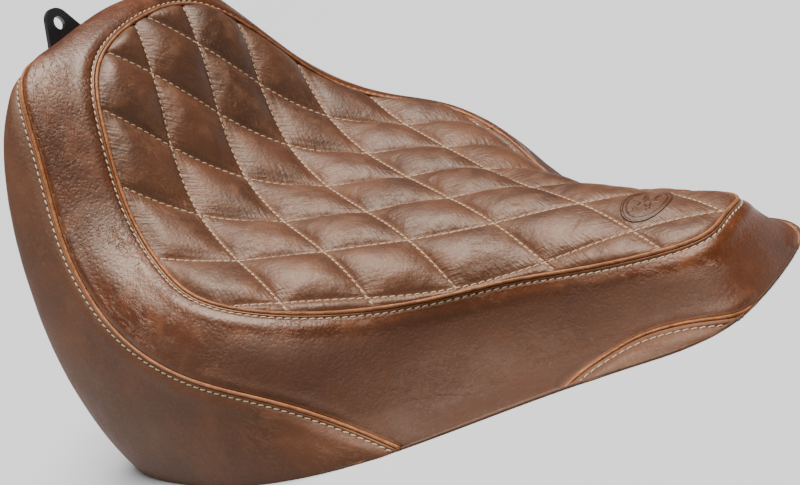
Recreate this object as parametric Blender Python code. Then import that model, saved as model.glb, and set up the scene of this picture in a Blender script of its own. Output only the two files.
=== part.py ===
"""Solo motorcycle seat with a diamond-quilted panel, a welted leather cover and a steel rear tab.

Metres, +Z up, +X towards the nose, +Y to the rider's left. The seat stands on its skirts at z = 0 and
the middle of its length is at x = 0. In the tables below x is measured back from the nose, lengths
are in millimetres, and k runs along the right half of the outline, 0 at the rear and 11 at the nose.
"""
import bpy
import bmesh
import numpy as np
from math import acos, cos, pi, radians, sin, tan
from mathutils import Matrix, Vector
from mathutils.bvhtree import BVHTree

MM = 0.001
GAP = 0.3 * MM                    # clearance between pieces that touch

# ---- driving dimensions ----
LENGTH = 468 * MM                 # nose to the back of the tab
DIAMOND_LONG = 95 * MM            # diagonals of one quilted diamond
RESTING_PITCH = 26.5              # degrees, nose down from the attitude on the bike
CENTRE_START = (-395.5 * MM, 273.5 * MM)   # x and z where the centreline starts, at the rear

LEATHER = 1.4 * MM
QUILT_FOAM = (1.7 * MM, 6.6 * MM)          # depths below the cover
FOAM_UNDER_QUILT = 7.0 * MM
FOAM_AT_RIM = 2.6 * MM
FOAM_UNDER_BAND = 2.0 * MM
FOAM_FOOT = (15 * MM, 4.5 * MM)   # where the foam ends: up the wall from the hem, and its depth
PAN = (1.7 * MM, 4.2 * MM)                 # depths above the visible underside
FOAM_ON_PAN = 4.8 * MM
FELT = (-1.8 * MM, 1.3 * MM)
WELT_RADIUS = 2.2 * MM
WELT_RISE = 0.6 * MM
SEAM_CLEARANCE = 3.0 * MM         # a panel's edge stops this far from its seam
HEM_INSETS = (5.5 * MM, 10 * MM, 13.5 * MM)   # outer edges of the hem, the pan and the foam

TAB_THICKNESS = 3.0 * MM
TAB_LEAN = 6.5                    # degrees back from vertical
TAB_HOLE = (-464.9 * MM, 279.4 * MM, 4.8 * MM)   # x, z and radius
TAB_TIP_RADIUS = 11.5 * MM
TAB_SPLAY = 28                    # degrees, each side of the tip
TAB_HALF_WIDTH = 40 * MM
FOOT_HALF_WIDTH = 20 * MM
FOOT_TOP = (-452.6 * MM, 184.0 * MM)       # x and z where the foot leaves the tab
FOOT_SLOPE = 29                   # degrees down, going forward
FOOT_LENGTH = 44 * MM

TONGUE_THICKNESS = 2.5 * MM
TONGUE_HALF_WIDTH = 18 * MM
TONGUE_HEIGHT = 5 * MM            # its flat underside above the floor

BUMPER_RADIUS = 12 * MM
BUMPER_HEIGHT = 14 * MM
BUMPERS = {                       # x and angle up the tunnel wall
    "bumper_front": (-190 * MM, 58),
    "bumper_rear": (-296 * MM, 50),
}
HEM_RIVETS = np.linspace(1.1, 9.5, 8)      # stations of the rivets along one side

# Along the centreline, per long diamond from the rear: slope in degrees, then the three shape
# terms of the cross-section (bend, flare and bow).
SLOPE = [(0, -28.7), (0.5, -42.3), (1, -45.4), (1.5, -20.8), (2, 3.2), (2.5, 11.5), (3, 12.2),
         (4, 14.3), (5, 10.2)]
BEND = [(0, 0.247), (1, 0.119), (2, 0.014), (3, 0.255), (4, 1.076), (5, 0.934)]
FLARE = [(0, -0.035), (1, 0.014), (2, 0.026), (3, 0.071), (4, -0.125), (5, 0.03)]
BOW = [(0, -0.023), (1, -0.005), (2, 0.0), (3, -0.026), (4, -0.099), (5, 0.06)]

# Half outline of the quilted panel: distance along it and half width, in long diamonds, for k = 1 to 10.
OUTLINE = [(0.185, 0.494), (0.476, 0.834), (1.008, 1.131), (1.596, 1.437), (2.091, 1.61),
           (2.667, 1.439), (3.195, 1.106), (3.747, 0.759), (4.312, 0.583), (4.923, 0.34)]
OUTLINE_ENDS = (0.105, 5.034)
INLAY_CENTRE = (0.62, 4.72)       # ends of the panel's middle line, in long diamonds
INLAY_SPREAD = [(0, 0), (1.2, 0), (2, 0.05), (3, 0.16), (4, 0.27), (5, 0.37), (6, 0.48), (7, 0.6),
                (8, 0.72), (9, 0.85), (10, 1), (11, 1)]

# Control lines of the band's sections: (k, x, y, z).
SHOULDER = [(0, -427, 0, 301), (1, -429, -55, 300), (2, -436, -110, 296), (3, -432, -162, 230),
            (4, -372, -190, 148), (5, -295, -187, 104), (6, -232, -161, 62), (7, -195, -108, 37),
            (8, -145, -72, 29), (9, -88, -58, 36), (10, -25, -38, 35), (11, -10, 0, 37)]
FLANK = [(0, -450, 0, 262), (1, -453, -55, 260), (2, -461, -112, 245), (3, -461, -156, 152),
         (4, -422, -184, 70), (5, -312, -199, 55), (6, -229, -186, 36), (7, -173, -142, 22),
         (8, -117, -104, 18), (9, -61, -83, 20), (10, -15, -57, 16), (11, -3, 0, 18)]
HEM = [(0, -447, 0, 190), (0.5, -448, -30, 184), (1, -450, -56, 164), (1.5, -451, -76, 130),
       (2, -451, -90, 86), (2.5, -450, -100, 40), (2.9, -448, -112, 9), (3.25, -442, -128, 0),
       (3.6, -429, -146, 0), (4, -403, -163, 0), (4.5, -356, -180, 0), (5, -305, -190, 0),
       (5.5, -262, -190, 0), (6, -225, -183, 0), (6.5, -192, -170, 0), (7, -161, -153, 0),
       (8, -103, -119, 0), (9, -52, -95, 0), (9.6, -26, -81, 0), (10, -12, -66, 0),
       (10.5, -3, -42, 0), (11, 0, 0, 0)]

# Lower seam on the band: (k, share of the way down). There is no seam between REAR_SEAM_END and
# FRONT_SEAM_START, nor past FRONT_SEAM_END.
SEAM = [(0, 0.5), (1, 0.42), (2, 0.283), (2.5, 0.218), (3, 0.202), (3.5, 0.237), (4, 0.295),
        (4.5, 0.387), (5, 0.495), (5.5, 0.548), (6, 0.635), (6.33, 0.79), (6.6, 0.955), (7, 0.93),
        (8, 0.95), (8.15, 0.965), (8.36, 0.89), (8.64, 0.815), (9, 0.75), (9.36, 0.73),
        (9.78, 0.79), (10.22, 0.925), (10.5, 0.97), (11, 0.97)]
REAR_SEAM_END = 6.6
FRONT_SEAM_START = 8.15
FRONT_SEAM_END = 10.4
REAR_SKIRT_END = 6.34             # the lower panels stop short of where the seams meet the hem
FRONT_SKIRT = (8.2, 10.1)
FELT_SPAN = (3.4, 4.6)

# The tunnel under the seat: (x, half width) and (x, height), and its squareness.
TUNNEL_WIDTH = [(-450, 104), (-420, 108), (-390, 124), (-350, 148), (-300, 160), (-262, 158),
                (-225, 148), (-161, 106), (-103, 72), (-52, 56), (-22, 44)]
TUNNEL_HEIGHT = [(-450, 190), (-400, 163), (-340, 104), (-280, 68), (-200, 42), (-120, 29),
                 (-60, 20), (-25, 11)]
TUNNEL_SQUARENESS = 2.5
TUNNEL_FOOT = 3 * MM
# Inner edge of the flange inside the hem: (k, x, angle up the tunnel wall).
FLANGE = [(0, -428, 90), (0.5, -428, 75), (1, -428, 60), (1.5, -428, 45), (2, -428, 30),
          (2.5, -427, 15), (3, -424, 4), (3.5, -408, 0), (4, -385, 0), (4.5, -345, 0),
          (5, -303, 0), (5.5, -264, 0), (6, -229, 0), (6.5, -198, 0), (7, -168, 0),
          (8, -113, 0), (9, -66, 0), (9.6, -44, 0), (10, -33, 8), (10.5, -25, 40), (11, -22, 90)]
ROOF_LINE = [(0, -405), (3, -392), (4, -362), (5, -300), (6, -232), (7, -176), (8, -124),
             (9, -84), (10, -56), (11, -46)]

MATERIALS = {                     # colour, roughness, metallic
    "leather": ((0.20, 0.085, 0.040), 0.5, 0.0),
    "leather_lower": ((0.17, 0.085, 0.050), 0.55, 0.0),
    "welt_leather": ((0.36, 0.16, 0.07), 0.45, 0.0),
    "foam": ((0.62, 0.58, 0.45), 0.9, 0.0),
    "pan_plastic": ((0.025, 0.025, 0.027), 0.55, 0.0),
    "black_steel": ((0.012, 0.012, 0.013), 0.35, 0.6),
    "zinc_steel": ((0.55, 0.56, 0.58), 0.35, 1.0),
    "rubber": ((0.02, 0.02, 0.02), 0.8, 0.0),
    "felt": ((0.06, 0.06, 0.065), 0.95, 0.0),
}

# Rows down the band: shares between the top edge and the seam, and between the seam and the hem.
ROWS_ABOVE_SEAM = (0.25, 0.52, 0.8)
ROWS_BELOW_SEAM = (0.28, 0.55, 0.8)
(RIM, TOP_EDGE, UPPER, MIDDLE, LOWER, SEAM_TOP, SEAM_LINE, SEAM_BOTTOM, WALL_1, WALL_2, WALL_3,
 HEM_LINE) = range(12)
INLAY_ROWS = (0, 0.3, 0.6, 0.85)
FOAM_SHOULDER = 0.93              # where the foam starts to rise to the rim
ROOF_ROWS = (0.2, 0.45, 0.72, 1)


# ---- curves and surfaces ----
def spline(stations, values):
    """Natural cubic spline through the values; it holds its end values outside the stations."""
    stations = np.array(stations, float)
    values = np.array(values, float)
    count = len(stations)
    step = np.diff(stations)
    matrix = np.eye(count)
    right = np.zeros(values.shape)
    for n in range(1, count - 1):
        matrix[n, n - 1:n + 2] = step[n - 1], 2 * (step[n - 1] + step[n]), step[n]
        right[n] = 6 * ((values[n + 1] - values[n]) / step[n] - (values[n] - values[n - 1]) / step[n - 1])
    bending = np.linalg.solve(matrix, right)

    def value(x):
        x = np.clip(np.asarray(x, float), stations[0], stations[-1])
        n = np.clip(np.searchsorted(stations, x) - 1, 0, count - 2)
        width = step[n]
        a = (stations[n + 1] - x) / width
        b = (x - stations[n]) / width
        if values.ndim > 1:
            a, b, width = a[..., None], b[..., None], width[..., None]
        bowed = (a ** 3 - a) * bending[n] + (b ** 3 - b) * bending[n + 1]
        return a * values[n] + b * values[n + 1] + bowed * width ** 2 / 6
    return value


def curve(pairs):
    table = np.array(pairs, float)
    return spline(table[:, 0], table[:, 1])


def half_ring(table):
    """A smooth line through (k, x, y, z) in millimetres that meets its mirror image squarely at both ends."""
    table = [tuple(row) for row in table]
    before = [(-k, x, -y, z) for k, x, y, z in table[4:0:-1]]
    after = [(22 - k, x, -y, z) for k, x, y, z in table[-2:-6:-1]]
    ring = np.array(before + table + after, float)
    return spline(ring[:, 0], ring[:, 1:] * MM)


slope, bend, flare, bow = curve(SLOPE), curve(BEND), curve(FLARE), curve(BOW)
shoulder, flank, hem = half_ring(SHOULDER), half_ring(FLANK), half_ring(HEM)


def centre_line():
    """Stations, x, z and slope angle along the middle of the quilted panel."""
    s = np.linspace(-0.5, 6, 651)
    angle = np.radians(slope(s) - RESTING_PITCH)
    step = (s[1] - s[0]) * DIAMOND_LONG
    places = []
    for part, start in ((np.cos(angle), CENTRE_START[0]), (np.sin(angle), CENTRE_START[1])):
        run = np.concatenate([[0], np.cumsum((part[1:] + part[:-1]) / 2 * step)])
        places.append(run + start - np.interp(0, s, run))
    return s, places[0], places[1], angle


CENTRE = centre_line()


def saddle(s, t):
    """The top surface, s long diamonds along it and t metres round it from the middle."""
    s, t = np.asarray(s, float), np.asarray(t, float)
    x, z, angle = (np.interp(s, CENTRE[0], part) for part in CENTRE[1:])
    bending, flaring = bend(s) / DIAMOND_LONG, flare(s) / DIAMOND_LONG ** 3
    share = (np.arange(24) + 0.5) / 24
    run = np.abs(t)[..., None] * share
    turn = bending[..., None] * run + flaring[..., None] * run ** 3
    y = np.cos(turn).mean(-1) * t
    drop = np.sin(turn).mean(-1) * np.abs(t)
    lead = bow(s) / DIAMOND_LONG * t ** 2
    return np.stack([x + np.sin(angle) * drop + np.cos(angle) * lead, y,
                     z - np.cos(angle) * drop + np.sin(angle) * lead], -1)


def rim_line():
    half = [(OUTLINE_ENDS[0], 0)] + [(s, -w) for s, w in OUTLINE] + [(OUTLINE_ENDS[1], 0)]
    before = [(s, -w) for s, w in half[4:0:-1]]
    after = [(s, -w) for s, w in half[-2:-6:-1]]
    ring = np.array(before + half + after) * [1, DIAMOND_LONG]
    return spline(np.arange(len(ring)) - 4, ring)


rim = rim_line()


def inlay(k, v):
    """The quilted panel: v is 0 on its middle line and 1 at its rim."""
    edge = rim(k)
    centre = INLAY_CENTRE[0] + (INLAY_CENTRE[1] - INLAY_CENTRE[0]) * np.interp(k, *zip(*INLAY_SPREAD))
    return saddle(centre + (edge[..., 0] - centre) * v, edge[..., 1] * v)


def band(k, v):
    """The leather round the panel: v is 0 at the panel's rim and 1 at the hem."""
    edge = rim(k)
    controls = [saddle(edge[..., 0], edge[..., 1]), shoulder(k), flank(k), hem(k)]
    v = np.asarray(v, float)[..., None]
    weights = [(1 - v) ** 3, 3 * (1 - v) ** 2 * v, 3 * (1 - v) * v ** 2, v ** 3]
    point = sum(weight * control for weight, control in zip(weights, controls))
    point[..., 2] = np.maximum(point[..., 2], 0)
    return point


def tunnel(x, angle):
    """The underside's tunnel, angle in degrees from its right foot up to its roof."""
    half_width = curve(TUNNEL_WIDTH)(x / MM) * MM
    height = curve(TUNNEL_HEIGHT)(x / MM) * MM
    power = 2 / TUNNEL_SQUARENESS
    across = np.abs(np.cos(np.radians(angle))) ** power
    up = np.sin(np.radians(angle)) ** power
    across = np.where(np.asarray(angle) > 89.99, 0, across)
    return np.stack([x + 0 * across, -half_width * across, TUNNEL_FOOT + (height - TUNNEL_FOOT) * up], -1)


# ---- stations round the seat ----
def half_stations():
    k = np.arange(34) / 3
    k[20] = REAR_SEAM_END
    k[24] = FRONT_SEAM_START
    return k


HALF = half_stations()
COUNT = 2 * len(HALF) - 2
RING_K = np.concatenate([HALF, HALF[-2:0:-1]])      # right side to the nose, then back up the left


def ring_of(half_points):
    """All round the seat from the right half's points."""
    left = half_points[-2:0:-1] * [1, -1, 1]
    return np.concatenate([half_points, left]) + 0.0


def seam_share(surface, v, clearance):
    """How much of v one clearance takes, square to the seam that lies at v."""
    small = 1e-4
    ahead, behind = HALF + small, HALF - small
    along = surface(ahead, np.interp(ahead, HALF, v)) - surface(behind, np.interp(behind, HALF, v))
    along /= np.linalg.norm(along, axis=-1, keepdims=True)
    down = (surface(HALF, v) - surface(HALF, v - small)) / small
    square = down - (down * along).sum(-1, keepdims=True) * along
    return clearance / np.linalg.norm(square, axis=-1)


def band_shares():
    """v of every row down the band, at each half station."""
    seam = np.interp(HALF, *zip(*SEAM))
    edge = seam_share(band, np.full(len(HALF), 2e-4), SEAM_CLEARANCE)
    gap = seam_share(band, seam, SEAM_CLEARANCE)
    above, below = seam - gap, np.minimum(seam + gap, 0.995)
    rows = [np.zeros(len(HALF)), edge]
    rows += [edge + (above - edge) * share for share in ROWS_ABOVE_SEAM]
    rows += [above, seam, below]
    rows += [below + (1 - below) * share for share in ROWS_BELOW_SEAM]
    return rows + [np.ones(len(HALF))]


BAND_SHARES = band_shares()


def band_rows(shares):
    return [ring_of(band(HALF, v)) for v in shares]


def foam_shares():
    """The band's rows that the foam follows, ending a little above the hem."""
    length = np.linalg.norm(band(HALF, np.full(len(HALF), 0.9)) - hem(HALF), axis=-1) / 0.1
    foot = 1 - FOAM_FOOT[0] / length
    rows = (UPPER, MIDDLE, LOWER, SEAM_LINE, WALL_1, WALL_2, WALL_3, HEM_LINE)
    return [np.minimum(BAND_SHARES[row], foot) for row in rows]


def under_rows():
    """Hem, its three insets, the flange's inner edge, and up the tunnel to the roof line."""
    edge = hem(HALF)
    edge[:, 2] = np.maximum(edge[:, 2], 0)
    x, angle = (np.interp(HALF, *zip(*[(row[0], row[column]) for row in FLANGE])) for column in (1, 2))
    x = x * MM
    inner = tunnel(x, angle)
    width = np.linalg.norm(inner - edge, axis=-1, keepdims=True)
    rows = [edge] + [edge + (inner - edge) * inset / width for inset in HEM_INSETS] + [inner]
    roof = np.interp(HALF, *zip(*ROOF_LINE)) * MM
    for share in ROOF_ROWS:
        rows.append(tunnel(x + (roof - x) * share, angle + (90 - angle) * share))
    return [ring_of(row) for row in rows]


# ---- sheets of points, and solids made from them ----
class Sheet:
    """Rows of points round the seat, joined where they coincide, with a vector out of the surface."""

    def __init__(self, rows):
        grid = np.array(rows)
        keys = {}
        self.index = np.zeros(grid.shape[:2], int)
        points = []
        for place in np.ndindex(*grid.shape[:2]):
            key = tuple(np.round(grid[place] / MM, 3) + 0.0)
            if key not in keys:
                keys[key] = len(points)
                points.append(grid[place])
            self.index[place] = keys[key]
        self.points = np.array(points)
        self.triangles = self.cells(range(grid.shape[0] - 1), range(grid.shape[1]))
        self.out = self.outward()

    def cells(self, rows, columns):
        """Two triangles for each cell, split the same way on both sides of the seat."""
        found = []
        wide = self.index.shape[1]
        for row in rows:
            for column in columns:
                after = (column + 1) % wide
                a, b = self.index[row, column], self.index[row + 1, column]
                d, c = self.index[row, after], self.index[row + 1, after]
                pair = [(a, b, c), (a, c, d)] if column < wide // 2 else [(a, b, d), (b, c, d)]
                found += [corner for corner in pair if len(set(corner)) == 3]
        return found

    def outward(self):
        """At each point, the vector that moves every face round it out by one metre."""
        total = np.zeros(self.points.shape)
        faces = [[] for point in self.points]
        for corners in self.triangles:
            place = self.points[list(corners)]
            normal = np.cross(place[1] - place[0], place[2] - place[0])
            size = np.linalg.norm(normal)
            if size < 1e-12:
                continue
            normal /= size
            for n in range(3):
                one = place[(n + 1) % 3] - place[n]
                two = place[(n + 2) % 3] - place[n]
                cosine = np.dot(one, two) / np.linalg.norm(one) / np.linalg.norm(two)
                weight = acos(max(-1, min(1, cosine)))
                total[corners[n]] += weight * normal
                faces[corners[n]].append((weight, normal))
        out = total / np.maximum(np.linalg.norm(total, axis=-1, keepdims=True), 1e-12)
        for n, around in enumerate(faces):
            if around:
                weights = sum(weight for weight, normal in around)
                facing = sum(weight * np.dot(normal, out[n]) for weight, normal in around) / weights
                out[n] /= max(facing, 0.6)
        return out

    def sunk(self, depth):
        """The points, moved into the seat; depth is one number or one for each row."""
        depths = np.zeros(len(self.points))
        for row, value in enumerate(np.broadcast_to(depth, self.index.shape[0])):
            depths[self.index[row]] = value
        return self.points - self.out * depths[:, None]


def layer(sheet, triangles, near, far):
    """A closed solid between two depths of a sheet."""
    used = sorted({n for corners in triangles for n in corners})
    place = {n: i for i, n in enumerate(used)}
    top = [tuple(place[n] for n in corners) for corners in triangles]
    size = len(used)
    edges = {(a, b) for c in top for a, b in zip(c, c[1:] + c[:1])}
    faces = list(top) + [tuple(n + size for n in reversed(corners)) for corners in top]
    for a, b in sorted(edges):
        if (b, a) not in edges:
            faces += [(b, a, a + size), (b, a + size, b + size)]
    points = np.concatenate([sheet.sunk(near)[used], sheet.sunk(far)[used]])
    points[:, 2] = np.maximum(points[:, 2], 0)
    return points, faces


def tube(centres, outward, radius, sides, closed):
    """A round cord along the centres; outward fixes how its sides are turned."""
    centres = np.array(centres)
    count = len(centres)
    if closed:
        tangent = np.roll(centres, -1, 0) - np.roll(centres, 1, 0)
    else:
        tangent = np.gradient(centres, axis=0)
    tangent /= np.linalg.norm(tangent, axis=-1, keepdims=True)
    first = outward - (outward * tangent).sum(-1, keepdims=True) * tangent
    first /= np.linalg.norm(first, axis=-1, keepdims=True)
    second = np.cross(tangent, first)
    angles = np.arange(sides) * 2 * pi / sides
    points = [centre + radius * (cos(a) * one + sin(a) * two)
              for centre, one, two in zip(centres, first, second) for a in angles]
    faces = []
    for n in range(count if closed else count - 1):
        after = (n + 1) % count
        for side in range(sides):
            turn = (side + 1) % sides
            a, b = n * sides + side, n * sides + turn
            c, d = after * sides + turn, after * sides + side
            faces += [(a, b, c), (a, c, d)]
    if not closed:
        faces.append(tuple(range(sides)))
        faces.append(tuple((count - 1) * sides + side for side in range(sides)))
    points = np.array(points)
    points[:, 2] = np.maximum(points[:, 2], 0.05 * MM)
    return points, faces


def turned(profile, sides):
    """A solid turned about z from (radius, z) points; a radius of 0 closes it on the axis."""
    points, rings = [], []
    for radius, z in profile:
        if radius == 0:
            rings.append([len(points)] * sides)
            points.append((0, 0, z))
            continue
        rings.append(list(range(len(points), len(points) + sides)))
        angles = [2 * pi * n / sides for n in range(sides)]
        points += [(radius * cos(angle), radius * sin(angle), z) for angle in angles]
    faces = []
    closed = profile[0][0] > 0
    pairs = list(zip(rings, rings[1:])) + ([(rings[-1], rings[0])] if closed else [])
    for low, high in pairs:
        for n in range(sides):
            after = (n + 1) % sides
            for corners in ((low[n], low[after], high[after]), (low[n], high[after], high[n])):
                if len(set(corners)) == 3:
                    faces.append(corners)
    return np.array(points), faces


def prism(outline, along, start, end):
    """An outline in the plane across one axis, 0 for x or 1 for y, pulled from start to end along it."""
    points = []
    for value in (start, end):
        for a, b in outline:
            points.append((value, a, b) if along == 0 else (a, value, b))
    count = len(outline)
    faces = [tuple(range(count)), tuple(range(count, 2 * count))]
    faces += [(n, (n + 1) % count, count + (n + 1) % count, count + n) for n in range(count)]
    return np.array(points, float), faces


def placed(shape, matrix):
    """A shape's points moved by a matrix."""
    points, faces = shape
    return np.array([matrix @ Vector(point) for point in points]), faces


# ---- objects ----
def clear_scene():
    for old in list(bpy.data.objects):
        bpy.data.objects.remove(old)


def material(name):
    """The named material, made on first use."""
    if name in bpy.data.materials:
        return bpy.data.materials[name]
    colour, roughness, metallic = MATERIALS[name]
    made = bpy.data.materials.new(name)
    made.use_nodes = True
    shader = made.node_tree.nodes["Principled BSDF"]
    shader.inputs["Base Color"].default_value = (*colour, 1)
    shader.inputs["Roughness"].default_value = roughness
    shader.inputs["Metallic"].default_value = metallic
    made.diffuse_color = (*colour, 1)
    return made


def piece(name, finish, shape, smooth_angle=40):
    """One named object, its faces turned outward."""
    points, faces = shape
    mesh = bpy.data.meshes.new(name)
    mesh.from_pydata([tuple(point) for point in points], [], faces)
    work = bmesh.new()
    work.from_mesh(mesh)
    bmesh.ops.recalc_face_normals(work, faces=work.faces)
    work.to_mesh(mesh)
    work.free()
    mesh.shade_smooth()
    mesh.set_sharp_from_angle(angle=radians(smooth_angle))
    made = bpy.data.objects.new(name, mesh)
    bpy.context.collection.objects.link(made)
    made.location.x = LENGTH / 2
    if finish:
        mesh.materials.append(material(finish))
    return made


def cut(target, name, shape, operation):
    """Cut a piece, or keep only what it shares with a shape."""
    cutter = piece(name, None, shape)
    cutter.hide_render = True
    cutter.display_type = "WIRE"
    step = target.modifiers.new(name, "BOOLEAN")
    step.operation = operation
    step.solver = "EXACT"
    step.object = cutter


def surface_of(objects):
    """The faces of several pieces, to seat others against."""
    points, faces = [], []
    for made in objects:
        base = len(points)
        points += [corner.co.copy() for corner in made.data.vertices]
        faces += [[base + n for n in face.vertices] for face in made.data.polygons]
    return BVHTree.FromPolygons(points, faces)


def seat_against(surface, start, axis, radius):
    """How far a flat disc can travel along an axis before it comes within GAP of a surface."""
    side = axis.orthogonal().normalized()
    other = axis.cross(side)
    nearest = None
    for share in (0, 0.5, 1):
        for n in range(24):
            angle = 2 * pi * n / 24
            origin = start + share * radius * (cos(angle) * side + sin(angle) * other)
            hit = surface.ray_cast(origin, axis)
            if hit[0] is not None and (nearest is None or hit[3] < nearest):
                nearest = hit[3]
    return nearest - GAP


# ---- the cover ----
def add_cover(band_sheet, inlay_sheet):
    """The panels that are sewn together at the welts, and the welts."""
    half = len(HALF) - 1
    in_rear = RING_K < REAR_SKIRT_END
    rear_cells = [n for n in range(COUNT) if in_rear[n] and in_rear[(n + 1) % COUNT]]
    front_cells = [n for n in range(half) if HALF[n] > FRONT_SKIRT[0] and HALF[n + 1] < FRONT_SKIRT[1]]

    piece("inlay_panel", "leather", layer(inlay_sheet, inlay_sheet.triangles, 0, LEATHER))
    piece("main_band", "leather", layer(band_sheet, band_cells(band_sheet), 0, LEATHER))
    wall = range(SEAM_BOTTOM, HEM_LINE)
    piece("rear_skirt", "leather_lower", layer(band_sheet, band_sheet.cells(wall, rear_cells), 0, LEATHER))
    mirrored = [COUNT - 1 - n for n in front_cells]
    for name, cells in (("front_skirt_right", front_cells), ("front_skirt_left", mirrored)):
        piece(name, "leather_lower", layer(band_sheet, band_sheet.cells(wall, cells), 0, LEATHER))

    add_welt("inlay_welt", band_sheet, RIM, range(COUNT), True)
    ends = [n for n in range(half + 1) if HALF[n] <= REAR_SEAM_END]
    order = [COUNT - n for n in reversed(ends) if n > 0] + ends
    add_welt("rear_skirt_welt", band_sheet, SEAM_LINE, order, False)
    front = [n for n in range(half + 1) if FRONT_SEAM_START <= HALF[n] < FRONT_SEAM_END]
    add_welt("front_welt_right", band_sheet, SEAM_LINE, front, False)
    add_welt("front_welt_left", band_sheet, SEAM_LINE, [COUNT - n for n in front], False)


def band_cells(sheet):
    """The main band: down to the lower seam, and down to the hem where there is no lower seam."""
    triangles = sheet.cells(range(TOP_EDGE, SEAM_TOP), range(COUNT))
    half = len(HALF) - 1
    for column in range(half):
        here = is_plain(HALF[column])
        after = is_plain(HALF[column + 1])
        for side in (column, COUNT - 1 - column):
            low, high = side, (side + 1) % COUNT
            first, second = (here, after) if side == column else (after, here)
            a, b = sheet.index[SEAM_TOP, low], sheet.index[HEM_LINE, low]
            d, c = sheet.index[SEAM_TOP, high], sheet.index[HEM_LINE, high]
            if first and second:
                triangles += [(a, b, c), (a, c, d)] if side < half else [(a, b, d), (b, c, d)]
            elif first:
                triangles.append((a, b, d))
            elif second:
                triangles.append((a, c, d))
    return triangles


def is_plain(k):
    """True where the band runs down to the hem with no lower seam."""
    return REAR_SEAM_END < k < FRONT_SEAM_START or k > FRONT_SEAM_END


def add_welt(name, sheet, row, columns, closed):
    corners = [sheet.index[row, column % COUNT] for column in columns]
    out = sheet.out[corners]
    piece(name, "welt_leather", tube(sheet.points[corners] + out * WELT_RISE, out, WELT_RADIUS, 8, closed))


# ---- inside ----
def add_foam(under):
    """The quilted panel's sewing foam, and the core between the cover and the pan."""
    quilt = Sheet([ring_of(inlay(HALF, v)) for v in INLAY_ROWS])
    piece("quilt_foam_layer", "foam", layer(quilt, quilt.triangles, *QUILT_FOAM))

    top = [ring_of(inlay(HALF, v)) for v in (*INLAY_ROWS, FOAM_SHOULDER, 1)]
    wall = band_rows(foam_shares())
    outer = Sheet(top + wall)
    depths = [FOAM_UNDER_QUILT] * (len(INLAY_ROWS) + 1) + [FOAM_AT_RIM]
    depths += [FOAM_UNDER_BAND] * (len(wall) - 1) + [FOAM_FOOT[1]]
    outside = outer.sunk(depths)[outer.index]
    inside = under.sunk(FOAM_ON_PAN)[under.index][3:]
    core = Sheet(list(outside) + list(inside))
    piece("foam_core", "foam", (core.points, core.triangles))


def add_pan(under):
    """The moulded pan, the cover's turned-under hem, and the felt that rests on the fender."""
    last = under.index.shape[0] - 1
    pan = piece("seat_pan", "pan_plastic", layer(under, under.cells(range(2, last), range(COUNT)), *PAN))
    folded = under.cells(range(1, 4), range(COUNT))
    hem_piece = piece("cover_hem", "leather", layer(under, folded, 0, LEATHER))
    felt = [n for n in range(len(HALF)) if FELT_SPAN[0] < HALF[n] < FELT_SPAN[1]]
    for name, cells in (("felt_pad_right", felt), ("felt_pad_left", [COUNT - 1 - n for n in felt])):
        piece(name, "felt", layer(under, under.cells(range(5, 7), cells), *FELT))
    return pan, hem_piece


# ---- metalwork and rubber ----
def add_tab():
    """The rear tab: a leaning plate with a bolt hole, bent forward into a foot under the pan's roof."""
    lean = radians(TAB_LEAN)
    hole_x, hole_z, hole_radius = TAB_HOLE
    foot = radians(FOOT_SLOPE)
    bend_x, bend_z = FOOT_TOP
    spare = 4 * MM                # past the outline that trims the bent strip
    rise = hole_z + TAB_TIP_RADIUS + spare - bend_z
    inner_radius = 4 * MM
    steps = 6
    # the bent strip's middle line: straight down, round the bend, then forward along the foot
    line = [(bend_x - tan(lean) * rise, bend_z + rise)]
    centre = Vector((bend_x + inner_radius * cos(lean), bend_z + inner_radius * sin(lean)))
    for n in range(steps + 1):
        angle = pi + lean + (pi / 2 - foot - lean) * n / steps
        line.append((centre.x + inner_radius * cos(angle), centre.y + inner_radius * sin(angle)))
    last = line[-1]
    line.append((last[0] + FOOT_LENGTH * cos(foot), last[1] - FOOT_LENGTH * sin(foot)))
    strip = thick_line(line, TAB_THICKNESS)
    reach = TAB_HALF_WIDTH + 5 * MM
    tab = piece("rear_mount_tab", "black_steel", prism(strip, 1, -reach, reach))
    cut(tab, "tab_outline", prism(tab_outline(), 0, -500 * MM, -380 * MM), "INTERSECT")
    end = 10 * MM
    bore = turned([(0, -end), (hole_radius, -end), (hole_radius, end), (0, end)], 24)
    square = Matrix.Translation((hole_x, 0, hole_z)) @ Matrix.Rotation(pi / 2 - lean, 4, "Y")
    cut(tab, "tab_hole", placed(bore, square), "DIFFERENCE")
    return line[-2], foot


def tab_outline():
    """The tab seen from behind, as (y, z): a round tip, splayed sides, and a narrower foot."""
    hole_z = TAB_HOLE[1]
    splay = radians(TAB_SPLAY)
    right = [(-FOOT_HALF_WIDTH, 100 * MM), (-FOOT_HALF_WIDTH, FOOT_TOP[1] + 1 * MM),
             (-TAB_HALF_WIDTH, FOOT_TOP[1] + 14 * MM)]
    edge_y, edge_z = TAB_TIP_RADIUS * cos(splay), hole_z + TAB_TIP_RADIUS * sin(splay)
    right.append((-TAB_HALF_WIDTH, edge_z - (TAB_HALF_WIDTH - edge_y) / tan(splay)))
    steps = 7
    for n in range(steps):
        angle = pi - splay - (pi / 2 - splay) * n / (steps - 1)
        right.append((TAB_TIP_RADIUS * cos(angle), hole_z + TAB_TIP_RADIUS * sin(angle)))
    return right + [(-y, z) for y, z in reversed(right[:-1])]


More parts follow.
